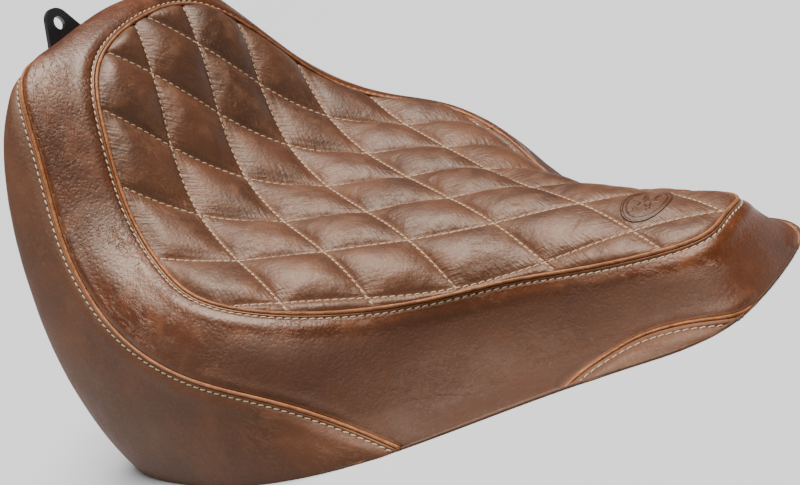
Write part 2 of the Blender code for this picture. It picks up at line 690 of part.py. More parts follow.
def thick_line(line, thickness):
    """A closed outline half a thickness each side of a line."""
    line = np.array(line)
    step = np.diff(line, axis=0)
    normal = np.stack([-step[:, 1], step[:, 0]], -1)
    normal /= np.linalg.norm(normal, axis=-1, keepdims=True)
    corner = np.concatenate([normal[:1], normal[:-1] + normal[1:], normal[-1:]])
    corner /= np.linalg.norm(corner, axis=-1, keepdims=True)
    corner[1:-1] /= (corner[1:-1] * normal[1:]).sum(-1, keepdims=True)
    one, two = line + corner * thickness / 2, line - corner * thickness / 2
    return [tuple(point) for point in np.concatenate([one, two[::-1]])]


def dome(radius, height, sides):
    """A low rivet head that stands on z = 0 and rises towards +z."""
    return turned([(0, 0), (radius, 0), (0.75 * radius, 0.7 * height), (0, height)], sides)


def facing(point, axis):
    """A matrix that puts z = 0 at a point with +z along an axis."""
    return Matrix.Translation(point) @ Vector(axis).to_track_quat("Z", "Y").to_matrix().to_4x4()


def add_tab_rivets(start, foot):
    along = Vector((cos(foot), 0, -sin(foot)))
    down = Vector((-sin(foot), 0, -cos(foot)))
    for share, label in ((0.35, "rear"), (0.75, "front")):
        place = Vector((start[0], 0, start[1])) + along * FOOT_LENGTH * share
        where = facing(place + down * (TAB_THICKNESS / 2 + GAP), down)
        piece(f"tab_rivet_{label}", "zinc_steel", placed(dome(6 * MM, 2.4 * MM, 16), where))


def add_tongue():
    """The nose tongue: riveted to the roof behind, joggled down, and flat towards the nose."""
    roof = curve(TUNNEL_HEIGHT)
    drop = 3.4 * MM               # from the tunnel's roof to the plate's middle
    back, front = -128 * MM, -98 * MM
    line = [(back, roof(back / MM) * MM - drop), (front, roof(front / MM) * MM - drop)]
    flat = TONGUE_HEIGHT + TONGUE_THICKNESS / 2
    line += [(-80 * MM, flat + 2.5 * MM), (-72 * MM, flat), (-34 * MM, flat)]
    outline = thick_line(line, TONGUE_THICKNESS)
    piece("nose_tongue", "zinc_steel", prism(outline, 1, -TONGUE_HALF_WIDTH, TONGUE_HALF_WIDTH))
    start, end = Vector((line[0][0], 0, line[0][1])), Vector((line[1][0], 0, line[1][1]))
    along = (end - start).normalized()
    down = Vector((along.z, 0, -along.x))
    for side, label in ((-1, "right"), (1, "left")):
        place = start.lerp(end, 0.45) + Vector((0, side * 9 * MM, 0))
        where = facing(place + down * (TONGUE_THICKNESS / 2 + GAP), down)
        piece(f"tongue_rivet_{label}", "zinc_steel", placed(dome(4.5 * MM, 2 * MM, 14), where))


def add_bumpers(pan):
    """Four rubber bumpers with a screw in each, seated square on the underside."""
    surface = surface_of([pan])
    radius, height = BUMPER_RADIUS, BUMPER_HEIGHT
    bore, counterbore, ledge = 2.8 * MM, 6.5 * MM, 7 * MM
    edge, start_height = 1 * MM, 20 * MM
    rubber = turned([(bore, 0), (radius - edge, 0), (radius, edge), (radius - edge, height - edge),
                     (radius - 2 * edge, height), (counterbore, height), (counterbore, ledge),
                     (bore, ledge)], 20)
    shank, head, head_top, flat_top = 2.4 * MM, 5 * MM, ledge + 3.6 * MM, 3.6 * MM
    screw = turned([(0, 0), (shank, 0), (shank, ledge + GAP), (head, ledge + GAP),
                    (head, head_top - edge), (flat_top, head_top), (0, head_top)], 16)
    for name, (x, angle) in BUMPERS.items():
        for side, label in ((1, "right"), (-1, "left")):
            place = tunnel(np.array(x), np.array(angle)) * [1, side, 1]
            lean = tunnel(np.array(x), np.array(angle + 8)) - tunnel(np.array(x), np.array(angle - 8))
            across = Vector(lean * [1, side, 1]).normalized()
            down = Vector((0, -across.z, across.y)).normalized()
            down = -down if down.z > 0 else down
            start = Vector(place) + down * start_height
            reach = seat_against(surface, start, -down, radius)
            where = facing(start - down * reach, down)
            piece(f"{name}_{label}", "rubber", placed(rubber, where))
            piece(f"{name}_screw_{label}", "zinc_steel", placed(screw, where))


def add_hem_rivets(hem_piece):
    """Rivets along the flange, through the turned-under hem into the pan."""
    surface = surface_of([hem_piece])
    head = dome(3.2 * MM, 1.1 * MM, 8)
    across_flange = 0.66          # from the hem's outer edge to the flange's inner edge
    on_floor = 5 * MM             # below this the flange is flat and the rivet faces down
    for n, k in enumerate(HEM_RIVETS, 1):
        edge = hem(k)
        x, angle = (np.interp(k, *zip(*[(row[0], row[column]) for row in FLANGE])) for column in (1, 2))
        inner = tunnel(np.array(x * MM), np.array(angle))
        place = Vector(edge + (inner - edge) * across_flange)
        if edge[2] < on_floor:
            place += Vector((0, 0, -3 * MM))
        found = surface.find_nearest(place)
        down = found[1]
        for side, label in ((1, "right"), (-1, "left")):
            flip = Vector((1, side, 1))
            where = facing((found[0] + down * 2 * GAP) * flip, down * flip)
            piece(f"hem_rivet_{n}_{label}", "zinc_steel", placed(head, where))


def build():
    clear_scene()
    band_sheet = Sheet(band_rows(BAND_SHARES))
    edge = 1 - seam_share(inlay, np.full(len(HALF), 1.0), SEAM_CLEARANCE)
    inlay_sheet = Sheet([ring_of(inlay(HALF, v)) for v in INLAY_ROWS] + [ring_of(inlay(HALF, edge))])
    under = Sheet(under_rows())
    add_cover(band_sheet, inlay_sheet)
    add_foam(under)
    pan, hem_piece = add_pan(under)
    foot_start, foot_slope = add_tab()
    add_tab_rivets(foot_start, foot_slope)
    add_tongue()
    add_bumpers(pan)
    add_hem_rivets(hem_piece)


build()
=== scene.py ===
"""Looks of the solo motorcycle seat: quilted leather panel, welted cover, thread, metal and rubber."""
from math import cos, pi, radians, sin, sqrt

import bmesh
import bpy
import numpy as np
from mathutils import Matrix, Vector
from mathutils.bvhtree import BVHTree
from mathutils.geometry import delaunay_2d_cdt


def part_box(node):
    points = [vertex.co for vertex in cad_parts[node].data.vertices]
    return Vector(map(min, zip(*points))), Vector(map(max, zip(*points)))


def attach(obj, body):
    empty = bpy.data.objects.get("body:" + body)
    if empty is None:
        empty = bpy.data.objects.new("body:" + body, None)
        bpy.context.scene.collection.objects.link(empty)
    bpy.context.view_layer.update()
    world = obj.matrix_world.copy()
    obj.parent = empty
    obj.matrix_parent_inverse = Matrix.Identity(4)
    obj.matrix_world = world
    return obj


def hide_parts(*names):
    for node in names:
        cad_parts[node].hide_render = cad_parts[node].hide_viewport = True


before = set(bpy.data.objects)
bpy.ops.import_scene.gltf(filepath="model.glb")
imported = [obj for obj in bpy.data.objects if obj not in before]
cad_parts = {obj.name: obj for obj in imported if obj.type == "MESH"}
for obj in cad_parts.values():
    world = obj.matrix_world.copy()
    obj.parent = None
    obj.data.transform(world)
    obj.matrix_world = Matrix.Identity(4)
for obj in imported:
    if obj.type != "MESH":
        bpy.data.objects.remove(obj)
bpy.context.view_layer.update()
MM = 0.001
NOSE_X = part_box("main_band")[1].x          # the tables below measure x back from the nose hem

# ---- the seat's shape ----
# The frame's curves, but for a waist, a narrower tunnel at the front and seams that run out at the hem.
DIAMOND_LONG, DIAMOND_WIDE = 95 * MM, 54 * MM
RESTING_PITCH = 26.5                       # degrees, from the quilted panel's own axes to the seat's
CENTRE_START = (-395.5 * MM, 273.5 * MM)
# Along the centre line, per long diamond from the rear: slope in degrees, then the three shape
# terms of the cross-section (bend, flare and bow).
SLOPE = [(0, -28.7), (0.5, -42.3), (1, -45.4), (1.5, -20.8), (2, 3.2), (2.5, 11.5), (3, 12.2),
         (4, 14.3), (5, 10.2)]
BEND = [(0, 0.247), (1, 0.119), (2, 0.014), (3, 0.255), (4, 1.076), (5, 0.934)]
FLARE = [(0, -0.035), (1, 0.014), (2, 0.026), (3, 0.071), (4, -0.125), (5, 0.03)]
BOW = [(0, -0.023), (1, -0.005), (2, 0.0), (3, -0.026), (4, -0.099), (5, 0.06)]
# Half outline of the quilted panel: distance along it and half width, in long diamonds, at stations
# 1 to 10. Stations run along the right half from 0 at the rear to 11 at the nose.
OUTLINE = [(0.185, 0.494), (0.476, 0.834), (1.008, 1.131), (1.596, 1.437), (2.091, 1.61),
           (2.667, 1.439), (3.195, 1.106), (3.747, 0.759), (4.312, 0.583), (4.923, 0.34)]
OUTLINE_ENDS = (0.105, 5.034)
# Control lines of the band's curve from the panel's rim to the hem: (station, x, y, z), mm.
SHOULDER = [(0, -427, 0, 301), (1, -429, -55, 300), (2, -436, -110, 296), (3, -432, -162, 230),
            (4, -372, -190, 148), (5, -295, -187, 104), (6, -232, -161, 62), (7, -195, -108, 37),
            (8, -145, -72, 29), (9, -88, -58, 36), (10, -25, -38, 35), (11, -10, 0, 37)]
FLANK = [(0, -450, 0, 262), (1, -453, -55, 260), (2, -461, -112, 245), (3, -461, -156, 152),
         (4, -422, -184, 70), (5, -312, -199, 55), (6, -229, -186, 36), (7, -173, -142, 22),
         (8, -117, -104, 18), (9, -61, -83, 20), (10, -15, -57, 16), (11, -3, 0, 18)]
HEM = [(0, -447, 0, 190), (0.5, -448, -30, 184), (1, -450, -56, 164), (1.5, -451, -76, 130),
       (2, -451, -90, 86), (2.5, -450, -100, 40), (2.9, -448, -112, 9), (3.25, -442, -128, 0),
       (3.6, -429, -146, 0), (4, -403, -163, 0), (4.5, -356, -180, 0), (5, -305, -190, 0),
       (5.5, -262, -190, 0), (6, -225, -183, 0), (6.5, -192, -170, 0), (7, -161, -153, 0),
       (8, -103, -119, 0), (9, -52, -95, 0), (9.6, -26, -81, 0), (10, -12, -66, 0),
       (10.5, -3, -42, 0), (11, 0, 0, 0)]
# The band's lower seams: (station, share of the way down).
REAR_SEAM = [(0, 0.5), (1, 0.42), (2, 0.283), (2.5, 0.218), (3, 0.202), (3.5, 0.237), (4, 0.295),
             (4.5, 0.387), (5, 0.495), (5.5, 0.548), (6, 0.635), (6.3, 0.765), (6.62, 1.0)]
FRONT_SEAM = [(8.1, 1.0), (8.36, 0.89), (8.64, 0.815), (9, 0.75), (9.36, 0.73), (9.78, 0.79),
              (10.22, 0.925), (10.62, 1.0)]
REAR_SEAM_END = 6.6
FRONT_WELT_SPAN = (8.12, 10.6)
FRONT_STITCH_SPAN = (8.16, 10.5)
# The tunnel under the seat: (x, half width) and (x, height), mm, and its squareness.
TUNNEL_WIDTH = [(-450, 104), (-420, 108), (-390, 124), (-350, 148), (-300, 160), (-262, 158),
                (-225, 142), (-161, 92), (-103, 60), (-52, 48), (-22, 40)]
TUNNEL_HEIGHT = [(-450, 190), (-400, 163), (-340, 104), (-280, 68), (-200, 42), (-120, 29),
                 (-60, 20), (-25, 11)]
TUNNEL_SQUARENESS = 2.5
TUNNEL_FOOT = 3 * MM
# Inner edge of the flange inside the hem: (station, x, angle up the tunnel wall).
FLANGE = [(0, -428, 90), (0.5, -428, 75), (1, -428, 60), (1.5, -428, 45), (2, -428, 30),
          (2.5, -427, 15), (3, -424, 4), (3.5, -408, 0), (4, -385, 0), (4.5, -345, 0),
          (5, -303, 0), (5.5, -264, 0), (6, -229, 0), (6.5, -198, 0), (7, -168, 0),
          (8, -113, 0), (9, -66, 0), (9.6, -44, 0), (10, -33, 8), (10.5, -25, 40), (11, -22, 90)]
# The pan's middle line, under the tunnel's crown: (station, x).
ROOF_LINE = [(0, -405), (3, -392), (4, -362), (5, -300), (6, -232), (7, -176), (8, -124),
             (9, -84), (10, -56), (11, -46)]
# How far the wall is drawn in between the rim and the hem (mm), and where down it that is most.
WAIST = [(0, 0), (3.4, 0), (4.2, 1.5), (5, 4), (5.7, 7), (6.5, 10), (7.5, 11), (8.5, 10), (9.3, 7),
         (10, 3.5), (11, 1)]
WAIST_AT = 0.64
RING = 22                                  # stations right round the seat
REAR_SKIRT_END, FRONT_SKIRT_START, FRONT_SKIRT_END = 6.62, 8.1, 10.62

# ---- sizes of the fine work ----
PUFF = [(0, 7.6), (1.5, 7.4), (2.5, 6.4), (3.4, 5.2), (4.1, 3.2), (5.1, 2.2)]   # height of the diamonds, mm
FOLD_LIMIT, FOLD_SHARE = 4 * MM, 0.32      # how much of the blown leather's folds is kept
START_SHARE = 0.55                         # how full the leather is before it is blown up
QUILT_STEPS = 22                           # mesh cells along one diamond edge
DIAMOND_EDGE = sqrt(DIAMOND_LONG ** 2 + DIAMOND_WIDE ** 2) / 2
STITCH_PITCH = 5.0 * MM
STITCH_SHARE = 0.84                        # how much of the pitch the thread shows
STITCH_SLANT = 0.16
THREAD_RADIUS = 0.46 * MM
INLAY_STITCH, REAR_STITCH, FRONT_STITCH = 3.5 * MM, 3.7 * MM, 5.2 * MM   # topstitch, from its seam
WELT_RADIUS = 1.1 * MM
WELT_RISE, FRONT_WELT_RISE = 0.1 * MM, -0.4 * MM
LEATHER, PAN, FELT = 1.4 * MM, 1.8 * MM, 2.2 * MM     # thicknesses
PAN_GAP = 1.5 * MM                         # from the tunnel's curve to the pan
SEAM_LAP = 1e-4                            # share of the band by which a skirt starts above its seam
EMBLEM = (4.49, 14.5 * MM, 20 * MM)        # place along the panel, and half sizes along and across it
GRID_START = 12.6                          # where the closed panels' grid begins, on the far side
BAND_COLUMNS, WELT_COLUMNS, SKIRT_COLUMNS, PAN_COLUMNS = 900, 760, 560, 330
FRONT_SKIRT_COLUMNS, FRONT_WELT_COLUMNS = 120, 110
BAND_ROWS, REAR_SKIRT_ROWS, FRONT_SKIRT_ROWS = 120, 90, 44


def spline(stations, values):
    """Natural cubic spline through the values; it holds its end values outside the stations."""
    stations, values = np.array(stations, float), np.array(values, float)
    count, step = len(stations), np.diff(stations)
    matrix, right = np.eye(count), np.zeros(values.shape)
    for n in range(1, count - 1):
        matrix[n, n - 1:n + 2] = step[n - 1], 2 * (step[n - 1] + step[n]), step[n]
        right[n] = 6 * ((values[n + 1] - values[n]) / step[n] - (values[n] - values[n - 1]) / step[n - 1])
    bending = np.linalg.solve(matrix, right)

    def value(x):
        x = np.clip(np.asarray(x, float), stations[0], stations[-1])
        n = np.clip(np.searchsorted(stations, x) - 1, 0, count - 2)
        width = step[n]
        a, b = (stations[n + 1] - x) / width, (x - stations[n]) / width
        if values.ndim > 1:
            a, b, width = a[..., None], b[..., None], width[..., None]
        bowed = (a ** 3 - a) * bending[n] + (b ** 3 - b) * bending[n + 1]
        return a * values[n] + b * values[n + 1] + bowed * width ** 2 / 6
    return value


def unit(vectors):
    """The vectors at length 1."""
    return vectors / np.maximum(np.linalg.norm(vectors, axis=-1, keepdims=True), 1e-12)


def square_to(vectors, axes):
    """The vectors less their part along the unit axes."""
    return vectors - (vectors * axes).sum(-1, keepdims=True) * axes


def curve(pairs):
    table = np.array(pairs, float)
    return spline(table[:, 0], table[:, 1])


def half_ring(table):
    table = [tuple(row) for row in table]
    before = [(-k, x, -y, z) for k, x, y, z in table[4:0:-1]]
    after = [(22 - k, x, -y, z) for k, x, y, z in table[-2:-6:-1]]
    ring = np.array(before + table + after, float)
    return spline(ring[:, 0], ring[:, 1:] * MM)


slope, bend, flare, bow = curve(SLOPE), curve(BEND), curve(FLARE), curve(BOW)
shoulder, flank, hem = half_ring(SHOULDER), half_ring(FLANK), half_ring(HEM)
rear_seam, front_seam = curve(REAR_SEAM), curve(FRONT_SEAM)


tunnel_width, tunnel_height = curve(TUNNEL_WIDTH), curve(TUNNEL_HEIGHT)


def centre_line():
    s = np.linspace(-0.5, 6, 651)
    angle = np.radians(slope(s) - RESTING_PITCH)
    step = (s[1] - s[0]) * DIAMOND_LONG
    places = []
    for part, start in ((np.cos(angle), CENTRE_START[0]), (np.sin(angle), CENTRE_START[1])):
        run = np.concatenate([[0], np.cumsum((part[1:] + part[:-1]) / 2 * step)])
        places.append(run + start - np.interp(0, s, run))
    return s, places[0], places[1], angle


CENTRE = centre_line()


def saddle(s, t):
    """The top surface, s long diamonds along it and t metres round it from the middle."""
    s, t = np.asarray(s, float), np.asarray(t, float)
    x, z, angle = (np.interp(s, CENTRE[0], part) for part in CENTRE[1:])
    bending, flaring = bend(s) / DIAMOND_LONG, flare(s) / DIAMOND_LONG ** 3
    share = (np.arange(24) + 0.5) / 24
    run = np.abs(t)[..., None] * share
    turn = bending[..., None] * run + flaring[..., None] * run ** 3
    y = np.cos(turn).mean(-1) * t
    drop = np.sin(turn).mean(-1) * np.abs(t)
    lead = bow(s) / DIAMOND_LONG * t ** 2
    return np.stack([x + np.sin(angle) * drop + np.cos(angle) * lead, y,
                     z - np.cos(angle) * drop + np.sin(angle) * lead], -1)


def rim_line():
    half = [(OUTLINE_ENDS[0], 0)] + [(s, -w) for s, w in OUTLINE] + [(OUTLINE_ENDS[1], 0)]
    before = [(s, -w) for s, w in half[4:0:-1]]
    after = [(s, -w) for s, w in half[-2:-6:-1]]
    ring = np.array(before + half + after) * [1, DIAMOND_LONG]
    return spline(np.arange(len(ring)) - 4, ring)


rim = rim_line()


def fold(u):
    """Station on the right half, and the sign of y, for a place anywhere round the seat."""
    u = np.mod(u, RING)
    return np.where(u > 11, RING - u, u), np.where(u > 11, -1.0, 1.0)


def mirrored(points, side):
    return points * np.stack([np.ones_like(side), side, np.ones_like(side)], -1)


def plain_band(u, v):
    """The band before its wall is drawn in."""
    k, side = fold(np.asarray(u, float))
    edge = rim(k)
    controls = [saddle(edge[..., 0], edge[..., 1]), shoulder(k), flank(k), hem(k)]
    v = np.asarray(v, float)[..., None]
    weights = [(1 - v) ** 3, 3 * (1 - v) ** 2 * v, 3 * (1 - v) * v ** 2, v ** 3]
    point = mirrored(sum(weight * control for weight, control in zip(weights, controls)), side)
    point[..., 2] = np.maximum(point[..., 2], 0)
    return point


def band(u, v):
    """The leather round the quilted panel: v is 0 at the panel's rim and 1 at the hem."""
    u, v = np.broadcast_arrays(np.asarray(u, float), np.asarray(v, float))
    point = plain_band(u, v)
    small = 1e-3
    down = plain_band(u, np.minimum(v + small, 1)) - plain_band(u, np.maximum(v - small, 0))
    along = plain_band(u + small, v) - plain_band(u - small, v)
    out = unit(np.cross(down, along))
    share = np.clip(v, 0, 1)
    rise = np.where(share < WAIST_AT, share / WAIST_AT, (1 - share) / (1 - WAIST_AT))
    drawn = np.interp(fold(u)[0], *zip(*WAIST)) * MM * np.sin(rise * pi / 2) ** 1.6
    return point - out * drawn[..., None]


def lower_seam(u):
    """Share of the way down the band where its lower seam runs; 1 where there is none."""
    k = fold(u)[0]
    return np.where(k < 7.3, np.minimum(rear_seam(k), 1), np.minimum(front_seam(k), 1))


def tunnel(x, angle):
    power = 2 / TUNNEL_SQUARENESS
    across = np.where(angle > 89.99, 0, np.abs(np.cos(np.radians(angle))) ** power)
    up = np.abs(np.sin(np.radians(angle))) ** power
    height = tunnel_height(x / MM) * MM
    return np.stack([x, -tunnel_width(x / MM) * MM * across, TUNNEL_FOOT + (height - TUNNEL_FOOT) * up], -1)


def underside(u, w):
    """w is 0 at the hem, 1 at the flange's inner edge and 2 on the tunnel's roof line."""
    k, side = fold(np.asarray(u, float))
    edge = hem(k)
    edge[..., 2] = np.maximum(edge[..., 2], 0)
    x, angle = (np.interp(k, *zip(*[(row[0], row[column]) for row in FLANGE])) for column in (1, 2))
    x = x * MM
    inner = tunnel(x, angle)
    roof = np.interp(k, *zip(*ROOF_LINE)) * MM
    share = np.clip(w - 1, 0, 1)
    upper = tunnel(x + (roof - x) * share, angle + (90 - angle) * share)
    flat = edge + (inner - edge) * np.minimum(w, 1)[..., None]
    return mirrored(np.where((w > 1)[..., None], upper, flat), side)


# ---- meshes ----
def new_object(name, points, faces, uv=None, attributes=(), smooth=True):
    """A mesh in the seat's frame; faces is one table of corner numbers, uv and attributes go by point."""
    mesh = bpy.data.meshes.new(name)
    points = np.asarray(points, float) + [NOSE_X, 0, 0]
    if isinstance(faces, np.ndarray):
        faces = faces.reshape(-1, faces.shape[-1])
        sides = faces.shape[1]
        mesh.vertices.add(len(points))
        mesh.vertices.foreach_set("co", points.astype(np.float32).ravel())
        mesh.loops.add(faces.size)
        mesh.loops.foreach_set("vertex_index", faces.astype(np.int32).ravel())
        mesh.polygons.add(len(faces))
        mesh.polygons.foreach_set("loop_start", np.arange(0, faces.size, sides, dtype=np.int32))
        mesh.update(calc_edges=True)
        mesh.validate()
    else:
        mesh.from_pydata([tuple(p) for p in points], [], faces)
    for label, values in attributes:
        layer = mesh.attributes.new(label, "FLOAT", "POINT")
        layer.data.foreach_set("value", np.asarray(values, np.float32).ravel())
    if uv is not None:
        corner = np.zeros(len(mesh.loops), np.int32)
        mesh.loops.foreach_get("vertex_index", corner)
        layer = mesh.uv_layers.new(name="UVMap")
        layer.data.foreach_set("uv", np.asarray(uv, np.float32)[corner].ravel())
    if smooth:
        mesh.shade_smooth()
    made = bpy.data.objects.new(name, mesh)
    bpy.context.scene.collection.objects.link(made)
    return made


def grid_faces(rows, columns, closed):
    """Quads of a table of points; rows run outward and columns run round."""
    r = np.arange(rows - 1)[:, None]
    c = np.arange(columns if closed else columns - 1)[None, :]
    after = (c + 1) % columns
    return np.stack([r * columns + c, (r + 1) * columns + c, (r + 1) * columns + after,
                     r * columns + after], -1).reshape(-1, 4)


def grid_normals(grid, closed):
    """Unit vectors out of the surface at each point of a grid."""
    if closed:
        across = np.roll(grid, -1, 1) - np.roll(grid, 1, 1)
    else:
        across = np.gradient(grid, axis=1)
    down = np.gradient(grid, axis=0)
    return unit(np.cross(down, across))


def gather(parts):
    """Points and faces of many small solids as one."""
    points, faces, base = [], [], 0
    for one_points, one_faces in parts:
        points.append(one_points)
        faces.append(one_faces + base)
        base += len(one_points)
    return np.concatenate(points), np.concatenate(faces)


def hashed(cell, seed):
    """A fixed number from 0 to 1 for each cell."""
    value = np.sin(cell @ np.array([127.1, 311.7, 74.7]) + seed * 53.3) * 43758.5453
    return value - np.floor(value)


def noise(points, size, seed=0):
    """Smooth noise from -1 to 1 whose lumps are about size metres across."""
    place = np.asarray(points) / size
    cell = np.floor(place)
    part = place - cell
    part = part * part * (3 - 2 * part)
    total = 0
    for corner in np.ndindex(2, 2, 2):
        weight = np.prod(np.where(np.array(corner) == 1, part, 1 - part), axis=-1)
        total = total + weight * hashed(cell + np.array(corner), seed)
    return total * 2 - 1


def bell(x, centre, width):
    return np.exp(-((x - centre) / width) ** 2)


# ---- leather panels ----
def row_shares(rows):
    """Shares down a panel, close together at both edges."""
    q = np.linspace(0, 1, rows)
    return q - 0.88 * np.sin(2 * pi * q) / (2 * pi)


def edge_profile(distance, stitch):
    """Height of the leather near a welt: tucked under it, a rolled lip, and a sewn groove."""
    height = -1.9 * MM * bell(distance, 0, 1.1 * MM)
    if stitch:
        height += 0.35 * MM * bell(distance, stitch - 1.6 * MM, 1.0 * MM)
        height -= 0.55 * MM * bell(distance, stitch, 0.9 * MM)
        height += 0.9 * MM * bell(distance, stitch + 6 * MM, 4.5 * MM)
    else:
        height += 0.8 * MM * bell(distance, 5 * MM, 3.5 * MM)
    return height


def square_share(grid, row, closed):
    """How squarely the columns meet a row: 1 where they cross it at right angles."""
    line = grid[row]
    along = np.roll(line, -1, 0) - np.roll(line, 1, 0) if closed else np.gradient(line, axis=0)
    down = grid[5] - grid[0] if row == 0 else grid[-1] - grid[-6]
    return np.sqrt(np.clip(1 - (unit(along) * unit(down)).sum(-1) ** 2, 0.05, 1))


def matt_and_painted_shade_share(u, v):
    """1 on the low sides that no leg rubs, made matt there and painted darker as shade; 0 on the polished
    shoulders and top.
    """
    k = fold(u)[0]
    along = np.interp(k, [4.4, 5.6, 9.6, 10.6], [0, 1, 1, 0.3])
    start = np.interp(k, [5, 7, 9, 10.2], [0.16, 0.02, 0.08, 0.30])
    share = np.clip((v - start) / 0.22, 0, 1)
    return along * share * share * (3 - 2 * share)


def leather_panel(name, u, top, bottom, rows, closed, top_stitch, bottom_seam):
    """One panel of the band, between two lines given as shares down it."""
    shares = row_shares(rows)[:, None]
    v = top + (bottom - top) * shares
    grid = band(np.broadcast_to(u, v.shape), v)
    step = np.linalg.norm(np.diff(grid, axis=0), axis=-1)
    down = np.concatenate([np.zeros((1, len(u))), np.cumsum(step, 0)])
    from_top = down * square_share(grid, 0, closed)
    from_bottom = (down[-1] - down) * square_share(grid, -1, closed)
    out = grid_normals(grid, closed)
    height = edge_profile(from_top, top_stitch)
    has_seam = np.broadcast_to(bottom_seam, from_bottom.shape)
    height += np.where(has_seam, edge_profile(from_bottom, 0), 0)
    calm = np.clip(np.minimum(from_top, from_bottom) / (14 * MM), 0, 1)
    height += calm * (0.5 * MM * noise(grid, 34 * MM, 3) + 0.12 * MM * noise(grid, 11 * MM, 5))
    shift = out * height[..., None]
    shift[-1] = np.where(has_seam[-1][:, None], shift[-1], 0)
    points = grid + shift
    points[..., 2] = np.maximum(points[..., 2], 0.2 * MM)
    mid = grid[rows // 2]
    around = np.concatenate([[0], np.cumsum(np.linalg.norm(np.diff(mid, axis=0), axis=-1))])
    uv = np.stack([np.broadcast_to(around, down.shape), down], -1)
    faces = grid_faces(rows, len(u), closed)
    near = np.where(has_seam, np.minimum(from_top, from_bottom), from_top)
    # share of painted shade on the low sides, which are also made matt there; kept as the side attribute
    side = matt_and_painted_shade_share(np.broadcast_to(u, v.shape), v)
    made = new_object(name, points.reshape(-1, 3), faces, uv.reshape(-1, 2),
                      [("seam", near.ravel()), ("side", side.ravel())])
    turn_under(made, LEATHER)
    return made


def turn_under(obj, thickness):
    """Gives a sheet its thickness, on the inner side."""
    solid = obj.modifiers.new("thickness", "SOLIDIFY")
    solid.thickness = thickness
    solid.offset = -1
    apply_modifiers(obj)


def apply_modifiers(obj):
    bpy.context.view_layer.update()
    graph = bpy.context.evaluated_depsgraph_get()
    mesh = bpy.data.meshes.new_from_object(obj.evaluated_get(graph), preserve_all_data_layers=True,
                                           depsgraph=graph)
    obj.modifiers.clear()
    old = obj.data
    obj.data = mesh
    if old.users == 0:
        bpy.data.meshes.remove(old)


def set_material(obj, finish):
    obj.data.materials.clear()
    obj.data.materials.append(finish)


def dress(obj, finish, slot, *nodes):
    """Gives a piece its material and hides the frame's nodes that it stands for; slot is not used."""
    set_material(obj, finish)
    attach(obj, "root")
    if nodes:
        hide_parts(*nodes)


# ---- shader building ----
class Nodes:
    """A short way to write a material's nodes."""

    def __init__(self, name):
        self.material = bpy.data.materials.new(name)
        self.material.use_nodes = True
        self.tree = self.material.node_tree
        self.shader = self.tree.nodes["Principled BSDF"]

    def add(self, kind, inputs=(), **settings):
        node = self.tree.nodes.new(kind)
        for key, value in settings.items():
            setattr(node, key, value)
        for key, value in dict(inputs).items():
            self.put(node, key, value)
        return node

    def put(self, node, key, value):
        if isinstance(value, bpy.types.NodeSocket):
            self.tree.links.new(value, node.inputs[key])
        else:
            node.inputs[key].default_value = value

    def where(self):
        return self.add("ShaderNodeTexCoord").outputs["Object"]

    def attribute(self, name):
        return self.add("ShaderNodeAttribute", attribute_name=name).outputs["Fac"]

    def uv(self, stretch):
        place = self.add("ShaderNodeUVMap", uv_map="UVMap").outputs["UV"]
        return self.add("ShaderNodeMapping", {"Vector": place, "Scale": stretch}).outputs["Vector"]

    def noise(self, vector, scale, detail=3, roughness=0.55, distortion=0.0):
        inputs = {"Vector": vector, "Scale": scale, "Detail": detail, "Roughness": roughness,
                  "Distortion": distortion}
        return self.add("ShaderNodeTexNoise", inputs).outputs["Fac"]

    def voronoi(self, vector, scale, feature="F1", randomness=1.0):
        return self.add("ShaderNodeTexVoronoi", {"Vector": vector, "Scale": scale, "Randomness": randomness},
                        feature=feature).outputs["Distance"]

    def math(self, operation, a, b=0.0, clamp=False):
        node = self.add("ShaderNodeMath", {0: a, 1: b}, operation=operation, use_clamp=clamp)
        return node.outputs[0]

    def span(self, value, low, high, to_low=0.0, to_high=1.0):
        return self.add("ShaderNodeMapRange", {"Value": value, "From Min": low, "From Max": high,
                                               "To Min": to_low, "To Max": to_high}).outputs["Result"]

    def mix(self, factor, a, b, blend="MIX"):
        node = self.add("ShaderNodeMix", data_type="RGBA", blend_type=blend)
        for index, value in ((0, factor), (6, a), (7, b)):
            if isinstance(value, bpy.types.NodeSocket):
                self.tree.links.new(value, node.inputs[index])
            else:
                node.inputs[index].default_value = value if index == 0 else (*value, 1)
        return node.outputs[2]

    def bump(self, height, distance, strength=1.0, normal=None):
        inputs = {"Height": height, "Distance": distance, "Strength": strength}
        if normal is not None:
            inputs["Normal"] = normal
        return self.add("ShaderNodeBump", inputs).outputs["Normal"]

    def finish(self, **inputs):
        for key, value in inputs.items():
            self.put(self.shader, key.replace("_", " "), value)
        return self.material


